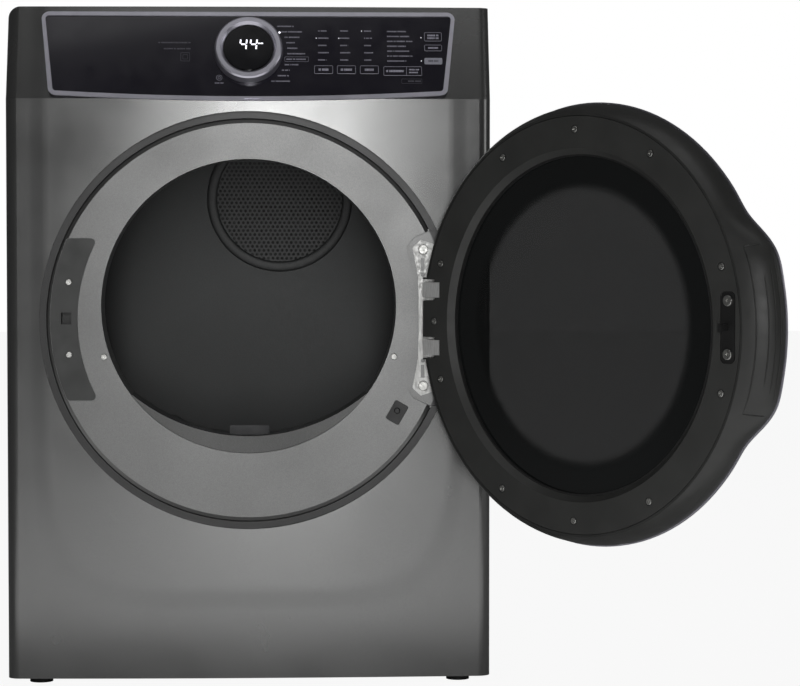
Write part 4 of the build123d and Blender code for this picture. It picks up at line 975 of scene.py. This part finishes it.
class DRYER_OT_stage(bpy.types.Operator):
    """Sets the floor, the soft light and the camera"""
    bl_idname = "dryer.stage"
    bl_label = "Stage"

    def execute(self, context):
        stage = context.scene.dryer_stage
        self.floor(stage)
        self.world(context.scene, stage)
        self.softbox("key_softbox", (0.10, -6.4, 1.25), (0.0, 0.0, 0.62), 0.60, 2.3, stage.key_power)
        self.softbox("top_softbox", (0.3, -1.2, 3.6), (0.0, 0.0, 0.3), 2.6, 2.6, 15)
        self.softbox("right_softbox", (4.2, -1.6, 1.6), (0.5, -0.3, 0.5), 1.4, 2.2, 12)
        self.softbox("low_softbox", (0.10, -1.55, 0.04), (0.10, -1.50, 1.0), 2.2, 1.6, stage.low_power)
        self.camera(context.scene, stage)
        return {"FINISHED"}

    def floor(self, stage):
        """A large flat floor."""
        side = np.linspace(-14, 14, 3)
        x, y = np.meshgrid(side, side)
        points = np.stack([x, y, np.zeros_like(x)], -1).reshape(-1, 3)
        mesh = bpy.data.meshes.new("floor")
        mesh.from_pydata(points.tolist(), [], grid_faces(3, 3)[:, ::-1].tolist())
        s = Shader("pale_floor", stage.floor, 0.7)
        dull, bright = shade(stage.floor, 0.985), shade(stage.floor, 1.01)
        s.link(s.blend_colours(s.noise(0.6), dull, bright), "Base Color")
        white = s.nodes.new("ShaderNodeEmission")
        white.inputs["Strength"].default_value = 1.0
        seen = s.math("MULTIPLY", s.nodes.new("ShaderNodeLightPath").outputs["Is Camera Ray"], 0.93)
        mix = s.nodes.new("ShaderNodeMixShader")
        s.links.new(seen, mix.inputs["Fac"])
        s.links.new(s.principled.outputs[0], mix.inputs[1])
        s.links.new(white.outputs[0], mix.inputs[2])
        s.links.new(mix.outputs[0], s.nodes["Material Output"].inputs["Surface"])
        mesh.materials.append(s.material)
        floor = bpy.data.objects.new("floor", mesh)
        bpy.context.scene.collection.objects.link(floor)

    def world(self, scene, stage):
        """Even light all round, and a white surround behind the object."""
        world = bpy.data.worlds.new("surround")
        scene.world = world
        world.use_nodes = True
        nodes, links = world.node_tree.nodes, world.node_tree.links
        fill = nodes["Background"]
        fill.inputs["Color"].default_value = (1.0, 1.0, 1.0, 1.0)
        fill.inputs["Strength"].default_value = stage.fill
        white = nodes.new("ShaderNodeBackground")
        white.inputs["Color"].default_value = (1.0, 1.0, 1.0, 1.0)
        white.inputs["Strength"].default_value = 1.0
        seen = nodes.new("ShaderNodeLightPath").outputs["Is Camera Ray"]
        mix = nodes.new("ShaderNodeMixShader")
        links.new(seen, mix.inputs["Fac"])
        links.new(fill.outputs[0], mix.inputs[1])
        links.new(white.outputs[0], mix.inputs[2])
        links.new(mix.outputs[0], nodes["World Output"].inputs["Surface"])

    def softbox(self, name, at, towards, width, height, power):
        light = bpy.data.lights.new(name, "AREA")
        light.shape = "RECTANGLE"
        light.size = width
        light.size_y = height
        light.energy = power
        lamp = bpy.data.objects.new(name, light)
        lamp.location = at
        lamp.rotation_euler = (Vector(towards) - Vector(at)).to_track_quat("-Z", "Y").to_euler()
        bpy.context.scene.collection.objects.link(lamp)

    def camera(self, scene, stage):
        """A long lens at eye level with the door, a little right of the middle."""
        camera = bpy.data.cameras.new("camera")
        camera.lens = stage.lens
        camera.sensor_width = 36.0
        camera.clip_end = 100.0
        eye = bpy.data.objects.new("camera", camera)
        eye.location = EYE
        yaw, pitch = radians(EYE_YAW), radians(EYE_PITCH)
        look = Vector((sin(yaw) * cos(pitch), cos(yaw) * cos(pitch), -sin(pitch)))
        eye.rotation_euler = look.to_track_quat("-Z", "Y").to_euler()
        scene.collection.objects.link(eye)
        scene.camera = eye
        scene.view_settings.view_transform = "Standard"


class DRYER_PT_finish(bpy.types.Panel):
    """Lists the dryer's finishing steps and settings"""
    bl_label = "Clothes dryer"
    bl_idname = "DRYER_PT_finish"
    bl_space_type = "VIEW_3D"
    bl_region_type = "UI"
    bl_category = "Dryer"

    def draw(self, context):
        for step in STEPS:
            self.layout.operator(step.bl_idname)
        for name, group in SETTINGS.items():
            box = self.layout.box()
            box.label(text=group.__doc__)
            for entry in group.__annotations__:
                box.prop(getattr(context.scene, name), entry)


SETTINGS = {
    "dryer_paint": DryerPaint,
    "dryer_console": DryerConsole,
    "dryer_door": DryerDoor,
    "dryer_drum": DryerDrum,
    "dryer_stage": DryerStage,
}
STEPS = (
    DRYER_OT_cabinet, DRYER_OT_metalwork, DRYER_OT_console, DRYER_OT_printing, DRYER_OT_key_marks,
    DRYER_OT_digits, DRYER_OT_door, DRYER_OT_handle_ribs, DRYER_OT_drum, DRYER_OT_inlet_grille,
    DRYER_OT_drive, DRYER_OT_air_path, DRYER_OT_stage,
)


def register():
    for cls in (*SETTINGS.values(), *STEPS, DRYER_PT_finish):
        bpy.utils.register_class(cls)
    for name, group in SETTINGS.items():
        setattr(bpy.types.Scene, name, bpy.props.PointerProperty(type=group))


def unregister():
    for name in SETTINGS:
        delattr(bpy.types.Scene, name)
    for cls in reversed((*SETTINGS.values(), *STEPS, DRYER_PT_finish)):
        bpy.utils.unregister_class(cls)


def main():
    register()
    for step in STEPS:
        group, name = step.bl_idname.split(".")
        getattr(getattr(bpy.ops, group), name)()


if __name__ == "__main__":
    main()
